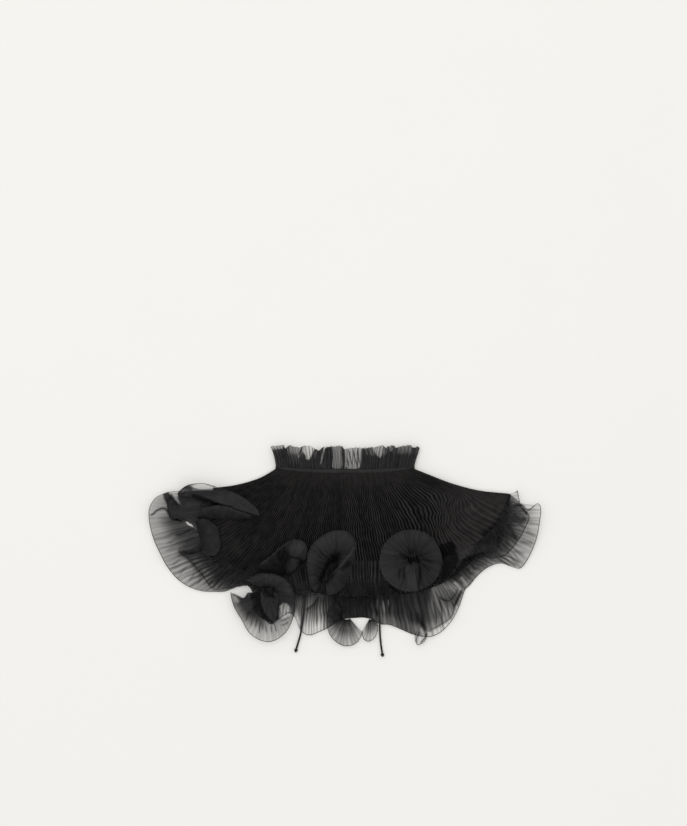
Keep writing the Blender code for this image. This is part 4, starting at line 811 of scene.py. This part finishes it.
def cloth(name, grid, cover, tone, material, slot, hem=HEM_ROLL, hem_tone=None, hem_cover=HEM_COVER,
          held="laid", rests_on="body_front", cut=None):
    """A sheet of cloth over a grid of points, with how close it is and its painted light and shade at each.

    cut is the width that it was cut to, where its edges are turned in; it is not used.
    """
    grid = np.asarray(grid)
    across, down = run_of(grid[:, -1]), run_of(grid.mean(axis=0))
    if hem:
        roll = rolled(grid, hem)
        turns = roll.shape[1]
        grid = np.concatenate([grid, roll], axis=1)
        close = np.broadcast_to(hem_cover, len(grid))[:, None]
        cover = np.concatenate([cover, np.repeat(close, turns, axis=1)], axis=1)
        # The rolled hem's painted shading: a little darker than the cloth at its edge, or a given painted
        # highlight
        lit = 0.7 * tone[:, -1:] if hem_tone is None else np.full((len(grid), 1), hem_tone)
        tone = np.concatenate([tone, np.repeat(lit, turns, axis=1)], axis=1)
        down = np.concatenate([down, down[-1] + hem * ROLL_STEP * np.arange(1, turns + 1)])
    cover = np.clip(cover, 0.0, 1.0)
    tone = np.clip(tone / BRIGHTEST, 0.0, 1.0)
    columns, rows = grid.shape[:2]
    points = place(grid).reshape(-1, 3)
    at = np.arange(columns * rows).reshape(columns, rows)
    faces = np.stack([at[:-1, :-1], at[:-1, 1:], at[1:, 1:], at[1:, :-1]], axis=2).reshape(-1, 4)
    mesh = bpy.data.meshes.new(f"{name}_cloth")
    mesh.from_pydata(points.tolist(), [], faces.tolist())
    weave = np.zeros((columns, rows, 3))
    weave[..., 0] = across[:, None]
    weave[..., 1] = down
    add_values(mesh, "cover", "FLOAT", "value", cover)
    add_values(mesh, "tone", "FLOAT", "value", tone)
    add_values(mesh, "weave", "FLOAT_VECTOR", "vector", weave)
    mesh.materials.append(material)
    mesh.shade_smooth()
    piece = placed(f"{name}_cloth", mesh)
    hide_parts(name)
    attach(piece, "root")


def add_values(mesh, name, kind, field, values):
    """A named value at each point of a mesh."""
    layer = mesh.attributes.new(name, kind, "POINT")
    layer.data.foreach_set(field, np.asarray(values, np.float32).ravel())


def sewn_root(root, hem):
    """The start of a flounce rib, moved onto the hem where it is near one."""
    starts, ways = hem[:-1, :2], np.diff(hem[:, :2], axis=0)
    parts = np.clip(np.sum((root[:2] - starts) * ways, axis=1) / np.sum(ways ** 2, axis=1), 0.0, 1.0)
    feet = starts + ways * parts[:, None]
    gaps = np.linalg.norm(feet - root[:2], axis=1)
    nearest = int(np.argmin(gaps))
    if gaps[nearest] > SEAM_REACH:
        return root
    height = hem[nearest, 2] + (hem[nearest + 1, 2] - hem[nearest, 2]) * parts[nearest]
    return np.array([*feet[nearest], height])


def curve(points):
    """A smooth line through a few points, given as the x, y of each in turn."""
    marks = np.reshape(points, (-1, 2))
    return np.array([through(marks, at) for at in np.linspace(0.0, len(marks) - 1.0, 8 * len(marks))])


def beside(grid, line):
    """How far each point of a grid lies from a line, on which side, and how far from the line's ends."""
    spot = grid[..., :2]
    gap = np.full(spot.shape[:2], np.inf)
    left, along = np.zeros(gap.shape), np.zeros(gap.shape)
    run = 0.0
    for start, end in zip(line[:-1], line[1:]):
        way = end - start
        length = math.hypot(*way)
        part = np.clip((spot - start) @ way / length ** 2, 0.0, 1.0)
        near = np.linalg.norm(spot - start - part[..., None] * way, axis=2)
        turn = way[0] * (spot[..., 1] - start[1]) - way[1] * (spot[..., 0] - start[0])
        nearer = near < gap
        gap = np.where(nearer, near, gap)
        left = np.where(nearer, np.sign(turn), left)
        along = np.where(nearer, run + part * length, along)
        run += length
    end = np.minimum(along, run - along) if run > LONG_STROKE else np.full(gap.shape, TAPER)
    return gap, left, end


def closer(cover, change):
    """A cover made closer by a part of its gaps, or sheerer by a part of itself."""
    return np.where(change > 0.0, 1.0 - (1.0 - cover) * (1.0 - change), cover * (1.0 + change))


def within(grid, points):
    """How far each point of a grid lies inside an outline, less than 0 outside it."""
    line = curve((*points, *points[:2]))
    spot = grid[..., :2]
    inside = np.zeros(spot.shape[:2], bool)
    for start, end in zip(line, np.roll(line, -1, axis=0)):
        crossed = (start[1] > spot[..., 1]) != (end[1] > spot[..., 1])
        slope = (end[0] - start[0]) / ((end[1] - start[1]) or 1.0)
        inside ^= crossed & (spot[..., 0] < start[0] + (spot[..., 1] - start[1]) * slope)
    gap = beside(grid, line)[0]
    return np.where(inside, gap, -gap)


def patched(name, grid, cover, tone):
    """How close a sheet is, and its painted light and shade, once its patches are laid on it."""
    for soft, close, light, points in PATCHES.get(name, ()):
        share = ease(0.5 + within(grid, points) / soft)
        cover = cover + (close - cover) * share
        tone = tone + (light - tone) * share
    return cover, tone


def brushed(name, grid, cover, tone):
    """How close a sheet is, and its painted light and shade, once its folds, turned edges, painted shadows
    and painted highlights are drawn on it.
    """
    for (width, close, light, *turned), *lines in STROKES.get(name, ()):
        for points in lines:
            gap, left, end = beside(grid, curve(points))
            shown = np.exp(-((gap / width) ** 2)) * ease(end / TAPER)
            cover = closer(cover, close * shown)
            tone = tone + light * shown
            if turned:
                layer, reach = turned
                over = ease(0.5 + 0.5 * left * gap / width) * ease(1.0 - gap / reach) * ease(end / TAPER)
                cover = closer(cover, layer * over)
    return cover, tone


def shaded(name, grid, places, pleats):
    """How close a sheet is and its painted light and shade, from its table of ribs, its creases and its
    strokes.
    """
    table = np.array(SHADES[name])
    line = looked_up(places, CREASES[name])[:, None]
    ribs = [np.interp(places, table[:, 0], column)[:, None] for column in table[:, 1:].T]
    root = ease(1.0 - 2.0 * pleats.parts)
    edge = ease((pleats.parts - 0.5) / 0.4)
    middle = 1.0 - root - edge
    cover = ribs[0] * root + ribs[1] * middle + ribs[2] * edge
    tone = ribs[3] * root + ribs[4] * middle + ribs[5] * edge
    cover, tone = patched(name, grid, edged(cover), tone)
    lines, ridges = pleats.lines(0.25), pleats.ridges()
    cover = 1.0 - np.clip((1.0 - cover) * (1.0 - line * lines) * (1.0 + 0.7 * line * ridges), 0.0, 1.0)
    cover = closer(cover, 0.6 * (0.85 - pleats.deep))
    # Painted shade in the creases and painted highlights on the ridges
    tone = tone * (1.0 + 0.5 * line * ridges - 1.1 * line * lines)
    # Between those ribs, the body's painted ridge highlights and painted crease shade run on into the flounce
    if name == "flounce_front":
        middle = ease(rows_between(places, *CARRIED_RIBS))[:, None]
        carried = 1.4 * ridges * (0.3 + 0.7 * pleats.own) - 0.3 * lines
        tone = tone + middle * ease(1.2 - 1.3 * pleats.parts) * carried
    return brushed(name, grid, cover, tone)


def pleated(name, grid, places, pleats, reliefs, material, **sheet):
    """A sheet made of its ribs, once its pleats are raised and its looks are laid on it."""
    grid = raised(wavered(np.array(grid), pleats), pleats.lift(*reliefs) * faded(pleats.columns))
    cover, tone = shaded(name, grid, places, pleats)
    cloth(name, grid, cover, tone, material, "sheer", **sheet)


def strip(name, table, pleat, stations, relief, salt, material, hem_line=None,
          hem_cover=((0, HEM_COVER),), **sheet):
    """A sheet of cloth whose ribs run from a seam past a bell to a free edge."""
    rows = np.array(table)
    pleats, places = creased(rows[:, 6:8], pleat, salt, stations)
    grid = []
    for at in places:
        rib = through(rows, at)
        root, bell, edge = rib[:3], rib[3:6], rib[6:]
        if hem_line is not None:
            root = sewn_root(root, hem_line)
        grid.append(arch(root, bell, edge, pleats.parts[:, None]))
    hems = looked_up(places, hem_cover)
    pleated(name, grid, places, pleats, (0.3 * relief, relief), material, hem_cover=hems, **sheet)


def flute(name, rim, throat, slot, rise, salt, material, rests_on):
    """A bell of cloth round a throat: its ribs leave the throat steeply and flare to the rim."""
    rows = np.array(rim)
    angles = np.radians(rows[:, 0])
    marks = np.column_stack([rows[:, 1] * np.cos(angles), rows[:, 1] * np.sin(angles)])
    half_length, half_width, tilt = slot[0], slot[1], math.radians(slot[2])
    pleats, places = creased(marks, ((0, FLUTE_PLEATS[name]),), salt, STATIONS, FLUTE_CREASE)
    grid = []
    for at in places:
        angle, reach, height, bell_height = through(rows, at)
        turn = abs(angle - rows[0, 0]) / 360.0
        angle = math.radians(angle)
        growth = THROAT_GROWTH * turn * (rise > 0.0)
        along = (half_length + growth) * math.cos(angle - tilt)
        aside = (half_width + growth) * math.sin(angle - tilt)
        root = np.array([
            throat[0] + along * math.cos(tilt) - aside * math.sin(tilt),
            throat[1] + along * math.sin(tilt) + aside * math.cos(tilt),
            throat[2] + rise * turn,
        ])
        edge = np.array([throat[0] + reach * math.cos(angle), throat[1] + reach * math.sin(angle), height])
        bell = root + BELL * (edge - root)
        bell[2] = bell_height
        grid.append(arch(root, bell, edge, pleats.parts[:, None]))
    pleated(name, grid, places, pleats, (0.2 * FLUTE_RELIEF, FLUTE_RELIEF), material,
            hem_tone=HEM_HIGHLIGHTS.get(name), rests_on=rests_on)


def rows_between(places, first, last):
    """0 at the first and last of some ribs and 1 well between them."""
    return np.minimum(places - first, last - places) / 1.5


def edged(cover):
    """A close cover along the first and last columns, where the cloth's side edge is turned in."""
    for columns in (slice(None, TURNED_IN), slice(-TURNED_IN, None)):
        cover[columns] = np.maximum(cover[columns], TURNED_IN_COVER)
    return cover


def front_body(material):
    """The front of the collar, pleated from the neck to the hem, and the line of its hem."""
    rows = np.array(FRONT_RIBS)
    fine, run = run_along(rows[:, 8:10])
    hem_x = np.array([through(rows, at)[8] for at in fine])
    turns = summed(np.diff(run) / looked_up(hem_x, BODY_PLEATS)[1:])
    pleats = Pleats(round(turns[-1]), 5.0, BODY_STATIONS)
    places = np.interp(np.linspace(0.0, turns[-1], pleats.columns), turns, fine)
    grid = []
    for at in places:
        rib = through(rows, at)
        marks = np.column_stack([rib[0:10:2], rib[1:10:2], np.full(5, rib[10])])
        grid.append([through(marks, 4.0 * part) for part in pleats.parts])
    grid = np.array(grid)
    grid[:, 0, 1] += TUCK
    hem_line = grid[:, -1].copy()
    ends = faded(pleats.columns, 6 * PER_PLEAT)
    sway = BODY_SWAY * np.sin(0.27 * grid[..., 1] + 0.09 * grid[..., 0])
    sway = sway + 0.5 * BODY_SWAY * np.sin(0.55 * grid[..., 1] - 0.13 * grid[..., 0] + 1.0)
    sway = sway * (1.0 + 1.2 * ease((grid[..., 0] - 70.0) / 50.0))
    grid[..., 0] += sway * ends * np.sin(math.pi * pleats.parts)
    grid = raised(grid, pleats.lift(*BODY_LIFT) * ends)
    right = ease((grid[..., 0] - 85.0) / 50.0)
    left = ease((-60.0 - grid[..., 0]) / 60.0)
    below = ease((pleats.parts - 0.05 - 0.22 * right - 0.12 * left) / 0.22) * ends
    lines = pleats.lines(0.6)
    ridges = pleats.ridges() * (0.35 + 0.65 * pleats.own)
    strength = below * (1.0 - 0.8 * left) * (1.0 - 0.45 * right)
    # Painted shading of the front: painted highlights on the pleats' ridges and painted shade in their
    # creases, lighter towards the right and near the neck
    tone = 0.13 + 0.36 * right + 0.06 * left + strength * (1.3 * ridges - 0.35 * lines - 0.05)
    tone = tone + 0.3 * ease(1.0 - pleats.parts / 0.3)
    cover, tone = patched("body_front", grid, np.ones(tone.shape), tone)
    cover, tone = brushed("body_front", grid, cover, tone)
    cloth("body_front", grid, cover, tone, material, "pleated",
          hem=0.0, held="gathered", rests_on=["body_back_left", "body_back_right"])
    return hem_line


def back_body(name, table, salt, material):
    """One side of the back, which lies flat, and the line of its hem."""
    rows = np.array(table)
    run = run_along(rows[:, 4:6])[1][-1]
    pleats = Pleats(round(run / BACK_PLEAT), salt, BACK_STATIONS)
    grid = []
    for at in places_along(rows[:, 4:6], pleats.columns - 1):
        rib = np.column_stack([through(rows, at).reshape(3, 2), np.full(3, BACK_LEVEL)])
        grid.append(arch(rib[0], rib[1], rib[2], pleats.parts[:, None]))
    grid = np.array(grid)
    grid[:, 0, 1] += TUCK
    hem_line = grid[:, -1].copy()
    grid[..., 2] += pleats.lift(*BACK_LIFT) * faded(pleats.columns)
    # Painted highlights on the ridges and painted shade in the creases
    tone = 0.2 + 0.3 * pleats.ridges() - 0.15 * pleats.lines(0.6)
    cloth(name, grid, np.ones(tone.shape), tone, material, "pleated",
          hem=0.0, held="gathered", rests_on=[name])
    return hem_line


def neck_loop(half, back, front, along):
    """x, z at lengths along a loop round the flat neck, open at the centre back, from the left of the gap."""
    radius = (front - back) / 2
    straight = half - radius
    places = []
    for at in along:
        if at < straight:
            places.append((-at, back))
        elif at < straight + math.pi * radius:
            bend = (at - straight) / radius
            places.append((-straight - radius * math.sin(bend), back + radius * (1 - math.cos(bend))))
        elif at < 3 * straight + math.pi * radius:
            places.append((at - 2 * straight - math.pi * radius, front))
        elif at < 3 * straight + 2 * math.pi * radius:
            bend = (at - 3 * straight - math.pi * radius) / radius
            places.append((straight + radius * math.sin(bend), front - radius * (1 - math.cos(bend))))
        else:
            places.append((4 * straight + 2 * math.pi * radius - at, back))
    return np.array(places)


def loop_length(half, back, front):
    """Length of the loop round the flat neck, its gap left out."""
    radius = (front - back) / 2
    return 4 * (half - radius) + 2 * math.pi * radius - 2 * BACK_GAP


def band_foot(x):
    """Lower edge of the neckband."""
    return BAND_FOOT + BAND_FOOT_RISE * (abs(x) / NECK_HALF) ** 3


def band_top(x):
    """Upper edge of the neckband."""
    return BAND_TOP + BAND_TOP_RISE * (abs(x) / NECK_HALF) ** 2


def neckband(material):
    """The folded neckband, a soft roll of cloth round the neck."""
    back = BAND_CLOTH / 2
    run = loop_length(NECK_HALF, back, FRONT_LEVEL)
    line = neck_loop(NECK_HALF, back, FRONT_LEVEL, np.linspace(BACK_GAP, BACK_GAP + run, BAND_RIBS + 1))
    turns = np.linspace(0.0, 2 * math.pi, BAND_SIDES + 1)
    ways = unit(np.gradient(line, axis=0))
    grid = []
    for number, ((x, z), way) in enumerate(zip(line, ways)):
        foot, top = band_foot(x) + SEAM, band_top(x) - SEAM
        out = np.array([way[1], 0.0, -way[0]])
        out = out * (-1.0 if out @ np.array([x, 0.0, z - FRONT_LEVEL / 2]) < 0.0 else 1.0)
        middle, half = np.array([x, (foot + top) / 2, z]), (top - foot) / 2
        puff = 1.0 + BAND_PUFF * math.sin(0.9 * number) * math.sin(0.23 * number + 1.0)
        ring = []
        for turn in turns:
            rise = math.copysign(abs(math.cos(turn)) ** 0.7, math.cos(turn))
            level = middle + np.array([0.0, half * rise, 0.0])
            ring.append(level + out * puff * BAND_CLOTH / 2 * math.sin(turn))
        grid.append(ring)
    # Painted shading round the roll: a little lighter on its outer face and darker along its upper edge
    tone = BAND_TONE + 0.06 * np.sin(turns) - 0.3 * ease(np.cos(turns))
    tone = np.repeat(tone[None, :], len(grid), axis=0)
    cover = np.full(tone.shape, BAND_COVER)
    cloth("neckband", grid, cover, tone, material, "band", hem=0.0, held="folded", cut=BAND_CUT)


def neck_frill(material):
    """The frill that stands on the neckband, one finely pleated strip round the neck."""
    back, front = FRILL_LEVELS
    run = loop_length(NECK_HALF, back, front)
    pleats = Pleats(round(run / FRILL_PLEAT), 9.0, FRILL_STATIONS)
    along = BACK_GAP + run * uneven((pleats.columns - 1) // PER_PLEAT, 9.0)
    line = neck_loop(NECK_HALF, back, front, along)
    step = np.arange(pleats.columns) / PER_PLEAT
    tip = looked_up(line[:, 0] * FRILL_FLARE, FRILL_EDGE)
    tip = tip - 0.7 + FRILL_RAGGED * scatter(np.floor(step), 4.0) * (0.5 + 0.5 * pleats.height[:, 0])
    grid = np.empty((pleats.columns, len(pleats.parts), 3))
    for number, part in enumerate(pleats.parts):
        widen = 1.0 + (FRILL_FLARE - 1.0) * part ** 1.5
        foot = band_top(line[:, 0]) + SEAM - TUCK
        lean = FRILL_LEAN * part * math.sin(math.pi * part) * np.sin(0.083 * line[:, 0] + 0.4 * line[:, 1])
        grid[:, number, 0] = line[:, 0] * widen + lean
        grid[:, number, 1] = foot + (tip - foot) * part
        grid[:, number, 2] = line[:, 1]
    grid = raised(grid, pleats.lift(*FRILL_LIFT))
    table = np.array(FRILL_COVER)
    low, middle, high = (np.interp(grid[..., 0], table[:, 0], table[:, column]) for column in (1, 2, 3))
    foot, top = ease(1.0 - 2.2 * pleats.parts), ease((pleats.parts - 0.5) / 0.3)
    cover = FRILL_CLOSE * (low * foot + middle * (1.0 - foot - top) + high * top)
    cover, tone = patched("neck_frill", grid, cover, np.full(cover.shape, FRILL_TONE))
    streak = pleats.crease * (0.35 + 0.65 * pleats.own)
    cover = closer(cover, 0.5 * streak - 0.4 * pleats.ridges())
    # Painted highlights on the pleats' ridges and painted shade in their creases
    tone = tone + 0.4 * pleats.ridges() - 0.4 * streak
    cover, tone = brushed("neck_frill", grid, cover, tone)
    cloth("neck_frill", grid, cover, tone, material, "sheer",
          hem=FRILL_HEM, hem_cover=cover[:, -1], held="gathered", rests_on=["neckband"])


def tube(name, points, radius, sides, plies, turn, material):
    """A twisted cord of a few plies along a line of points, closed at its ends."""
    way = unit(np.gradient(points, axis=0))
    aside = unit(np.cross(way, np.array([0.0, 0.0, 1.0])))
    over = np.cross(aside, way)
    run = run_of(points)
    rings = []
    for number in range(len(points)):
        twist = 2 * math.pi * run[number] / turn
        for side in range(sides):
            angle = 2 * math.pi * side / sides
            reach = radius * (0.86 + 0.14 * abs(math.cos(0.5 * plies * (angle - twist))))
            out = math.cos(angle) * aside[number] + math.sin(angle) * over[number]
            rings.append(points[number] + reach * out)
    faces = []
    for number in range(len(points) - 1):
        for side in range(sides):
            here, there = number * sides + side, number * sides + (side + 1) % sides
            faces.append((here, there, there + sides, here + sides))
    faces.append(tuple(range(sides)))
    faces.append(tuple(range(len(rings) - 1, len(rings) - sides - 1, -1)))
    mesh = bpy.data.meshes.new(f"{name}_thread")
    mesh.from_pydata(place(np.array(rings)).tolist(), [], faces)
    mesh.materials.append(material)
    mesh.shade_smooth()
    piece = placed(f"{name}_thread", mesh)
    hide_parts(name)
    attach(piece, "root")
    return piece


def tie(side, route, material):
    """A tie from the centre back of the neck, and the small overhand knot at its end."""
    marks = np.array(route)
    points = np.array([through(marks, at) for at in places_along(marks, 420)])
    end = points[-1]
    way = end - points[-6]
    way[2] = 0.0
    way = way / np.linalg.norm(way)
    aside = np.array([-way[1], way[0], 0.0])
    centre = end + way * (KNOT[0] - 0.3)
    centre[2] = KNOT[1]
    loops = []
    for turn in np.linspace(0.0, 2 * math.pi, 121):
        swing = 2.0 + math.cos(3 * turn)
        loops.append(
            centre
            + way * (KNOT[0] - 1.0) * math.cos(2 * turn) * swing / 3.0
            + aside * (KNOT[1] - 0.6) * math.sin(2 * turn) * swing / 3.0
            + np.array([0.0, 0.0, 0.75 * math.sin(3 * turn)])
        )
    knot = tube(f"knot_{side}", np.array(loops), 0.95, 10, 2, 3.0, material)
    cord = tube(f"tie_{side}", points, TIE / 2, 12, 3, 4.5, material)


def node(tree, kind, **values):
    """A node with its settings and the values of its inputs."""
    made = tree.nodes.new(kind)
    for name, value in values.items():
        if hasattr(made, name):
            setattr(made, name, value)
        else:
            made.inputs[name.replace("_", " ")].default_value = value
    return made


def blank(name, **values):
    """A material with some values of its shader, its tree and the shader."""
    material = bpy.data.materials.new(name)
    material.use_nodes = True
    shader = material.node_tree.nodes["Principled BSDF"]
    for key, value in values.items():
        shader.inputs[key.replace("_", " ")].default_value = value
    return material, material.node_tree, shader


def ramped(tree, source, dark, light, start=0.0, stop=1.0):
    """A colour from dark to light, for values of the source from start to stop."""
    ramp = node(tree, "ShaderNodeValToRGB")
    for element, at, colour in zip(ramp.color_ramp.elements, (start, stop), (dark, light)):
        element.position = at
        element.color = (*colour, 1.0)
    tree.links.new(source, ramp.inputs["Fac"])
    return ramp.outputs["Color"]


def joined(tree, operation, first, second, clamp=True):
    """Two values joined by a sum of the named kind, each a number or what another node gives."""
    made = node(tree, "ShaderNodeMath", operation=operation, use_clamp=clamp)
    for socket, value in zip(made.inputs, (first, second)):
        if isinstance(value, float):
            socket.default_value = value
        else:
            tree.links.new(value, socket)
    return made.outputs["Value"]


def ranged(tree, source, start, stop, low, high):
    """A value from low to high, for values of the source from start to stop."""
    made = node(tree, "ShaderNodeMapRange", From_Min=start, From_Max=stop, To_Min=low, To_Max=high)
    tree.links.new(source, made.inputs["Value"])
    return made.outputs["Result"]


def embossed(tree, shader, source, strength, distance):
    """The source as a fine relief of the shader's surface."""
    relief = node(tree, "ShaderNodeBump", Strength=strength, Distance=distance)
    tree.links.new(source, relief.inputs["Height"])
    tree.links.new(relief.outputs["Normal"], shader.inputs["Normal"])


def woven(name, dark, light, roughness, gloss, sheen):
    """Cloth whose threads, closeness and painted light and shade come from its own points and fine weave."""
    material, tree, shader = blank(name, Metallic=0.0, Specular_IOR_Level=gloss, Sheen_Weight=sheen,
                                   Sheen_Roughness=0.5, Sheen_Tint=SHEEN_TINT)
    link = tree.links.new
    weave, tone, cover = (
        node(tree, "ShaderNodeAttribute", attribute_name=name) for name in ("weave", "tone", "cover")
    )
    warp, weft = (
        node(tree, "ShaderNodeTexWave", wave_type="BANDS", bands_direction=way, Scale=BAND_A_MM / THREAD)
        for way in "XY"
    )
    noise = node(tree, "ShaderNodeTexNoise", Scale=0.12, Detail=4.0)
    for texture in (warp, weft, noise):
        link(weave.outputs["Vector"], texture.inputs["Vector"])
    cloudy = noise.outputs["Fac"]
    threads = joined(tree, "MAXIMUM", warp.outputs["Fac"], weft.outputs["Fac"], clamp=False)
    # Painted light and shade from the points, with a little random mottling
    lightness = joined(tree, "ADD", tone.outputs["Fac"], ranged(tree, cloudy, 0.3, 0.7, -0.12, 0.12))
    colour = node(tree, "ShaderNodeMix", data_type="RGBA")
    colour.inputs[6].default_value = (*dark, 1.0)
    colour.inputs[7].default_value = (*light, 1.0)
    link(lightness, colour.inputs[0])
    link(colour.outputs[2], shader.inputs["Base Color"])
    rough = ranged(tree, cloudy, 0.3, 0.7, roughness - 0.08, roughness + 0.08)
    link(rough, shader.inputs["Roughness"])
    embossed(tree, shader, threads, 0.3, THREAD_HEIGHT)
    gaps = joined(tree, "SUBTRACT", 1.0, cover.outputs["Fac"])
    power = ranged(tree, threads, 0.0, 1.0, *THREAD_POWERS)
    open_part = joined(tree, "POWER", gaps, power, clamp=False)
    link(joined(tree, "SUBTRACT", 1.0, open_part), shader.inputs["Alpha"])
    return material


def cord_material():
    """Matt twisted thread."""
    material, tree, shader = blank("tie_thread", Roughness=0.7, Specular_IOR_Level=0.2)
    coordinates = node(tree, "ShaderNodeTexCoord")
    threads = node(tree, "ShaderNodeTexNoise", Scale=900.0, Detail=3.0)
    tree.links.new(coordinates.outputs["Object"], threads.inputs["Vector"])
    colour = ramped(tree, threads.outputs["Fac"], (0.006, 0.006, 0.007), (0.028, 0.027, 0.028), 0.3, 0.75)
    tree.links.new(colour, shader.inputs["Base Color"])
    embossed(tree, shader, threads.outputs["Fac"], 0.5, 0.0002)
    return material


def paper():
    """The plain pale surface that the collar lies on."""
    material, tree, shader = blank("pale_surface", Roughness=0.9, Specular_IOR_Level=0.1)
    grain = node(tree, "ShaderNodeTexNoise", Scale=60.0, Detail=2.0)
    colour = ramped(tree, grain.outputs["Fac"], (0.880, 0.868, 0.838), (0.888, 0.876, 0.846))
    tree.links.new(colour, shader.inputs["Base Color"])
    return material


def camera():
    """The photo's view: straight down, with no perspective."""
    data = bpy.data.cameras.new("camera")
    data.type = "ORTHO"
    data.ortho_scale = PICTURE[1] * PIXEL * MM
    made = placed("camera", data)
    made.location = (*place((*PICTURE_MIDDLE, 0.0))[:2], CAMERA_HEIGHT)
    bpy.context.scene.camera = made


def studio():
    """A pale surface, soft light from all round, and a large soft light from behind the neck."""
    side = SURFACE_HALF
    corners = [(-side, -side, 0.0), (side, -side, 0.0), (side, side, 0.0), (-side, side, 0.0)]
    mesh = bpy.data.meshes.new("surface")
    mesh.from_pydata(corners, [], [(0, 1, 2, 3)])
    mesh.materials.append(paper())
    surface = placed("surface", mesh)
    world = bpy.data.worlds.new("studio")
    world.use_nodes = True
    room = world.node_tree.nodes["Background"]
    room.inputs["Color"].default_value = (1.0, 1.0, 1.0, 1.0)
    room.inputs["Strength"].default_value = ROOM_LIGHT
    bpy.context.scene.world = world
    light = bpy.data.lights.new("soft_light", "AREA")
    light.shape = "RECTANGLE"
    light.size, light.size_y = LAMP_SIZE
    light.energy = LAMP_POWER
    lamp = placed("soft_light", light)
    lamp.location = LAMP_PLACE
    lamp.rotation_euler = [math.radians(turn) for turn in LAMP_TURN]
    scene = bpy.context.scene
    scene.view_settings.view_transform = "Standard"
    scene.view_settings.look = "None"
    scene.cycles.transparent_max_bounces = LAYERS
    scene.cycles.max_bounces = BOUNCES


def build():
    """Make every piece of the collar."""
    camera()
    cord = cord_material()
    tie("left", LEFT_TIE, cord)
    tie("right", RIGHT_TIE, cord)
    plisse, sheer, satin = (woven(name, *looks) for name, looks in CHIFFONS.items())
    neck_frill(sheer)
    neckband(satin)
    front_hem = front_body(plisse)
    left_hem = back_body("body_back_left", BACK_LEFT_RIBS, 11.0, plisse)
    right_hem = back_body("body_back_right", BACK_RIGHT_RIBS, 12.0, plisse)
    strip("flounce_front", FRONT_FLOUNCE, FRONT_FLOUNCE_PLEATS, STATIONS, 0.35, 21.0, sheer, front_hem,
          hem_cover=FRONT_HEM_COVER)
    strip("flounce_back_left", BACK_LEFT_FLOUNCE, BACK_LEFT_PLEATS, STATIONS, 0.1, 22.0, sheer, left_hem,
          rests_on=["body_back_left"])
    strip("flounce_back_right", BACK_RIGHT_FLOUNCE, ((0, 6.0),), STATIONS, 0.1, 23.0, sheer, right_hem,
          rests_on=["body_back_right"])
    strip("fold_leaf", LEAF_FOLD, ((0, 4.0),), 44, 0.05, 24.0, sheer)
    strip("fold_lower_leaf", LOWER_LEAF_FOLD, ((0, 5.0),), 16, 0.05, 25.0, sheer, hem_tone=0.8)
    strip("fold_crescent", CRESCENT_FOLD, ((0, 4.0),), 24, 0.05, 26.0, sheer)
    for number, (name, (rim, throat, slot, rise)) in enumerate(FLUTES.items()):
        rests_on = ["flounce_back_right" if "right" in name or "tail" in name else "flounce_front"]
        flute(name, rim, throat, slot, rise, 31.0 + number, sheer, rests_on)


build()
studio()
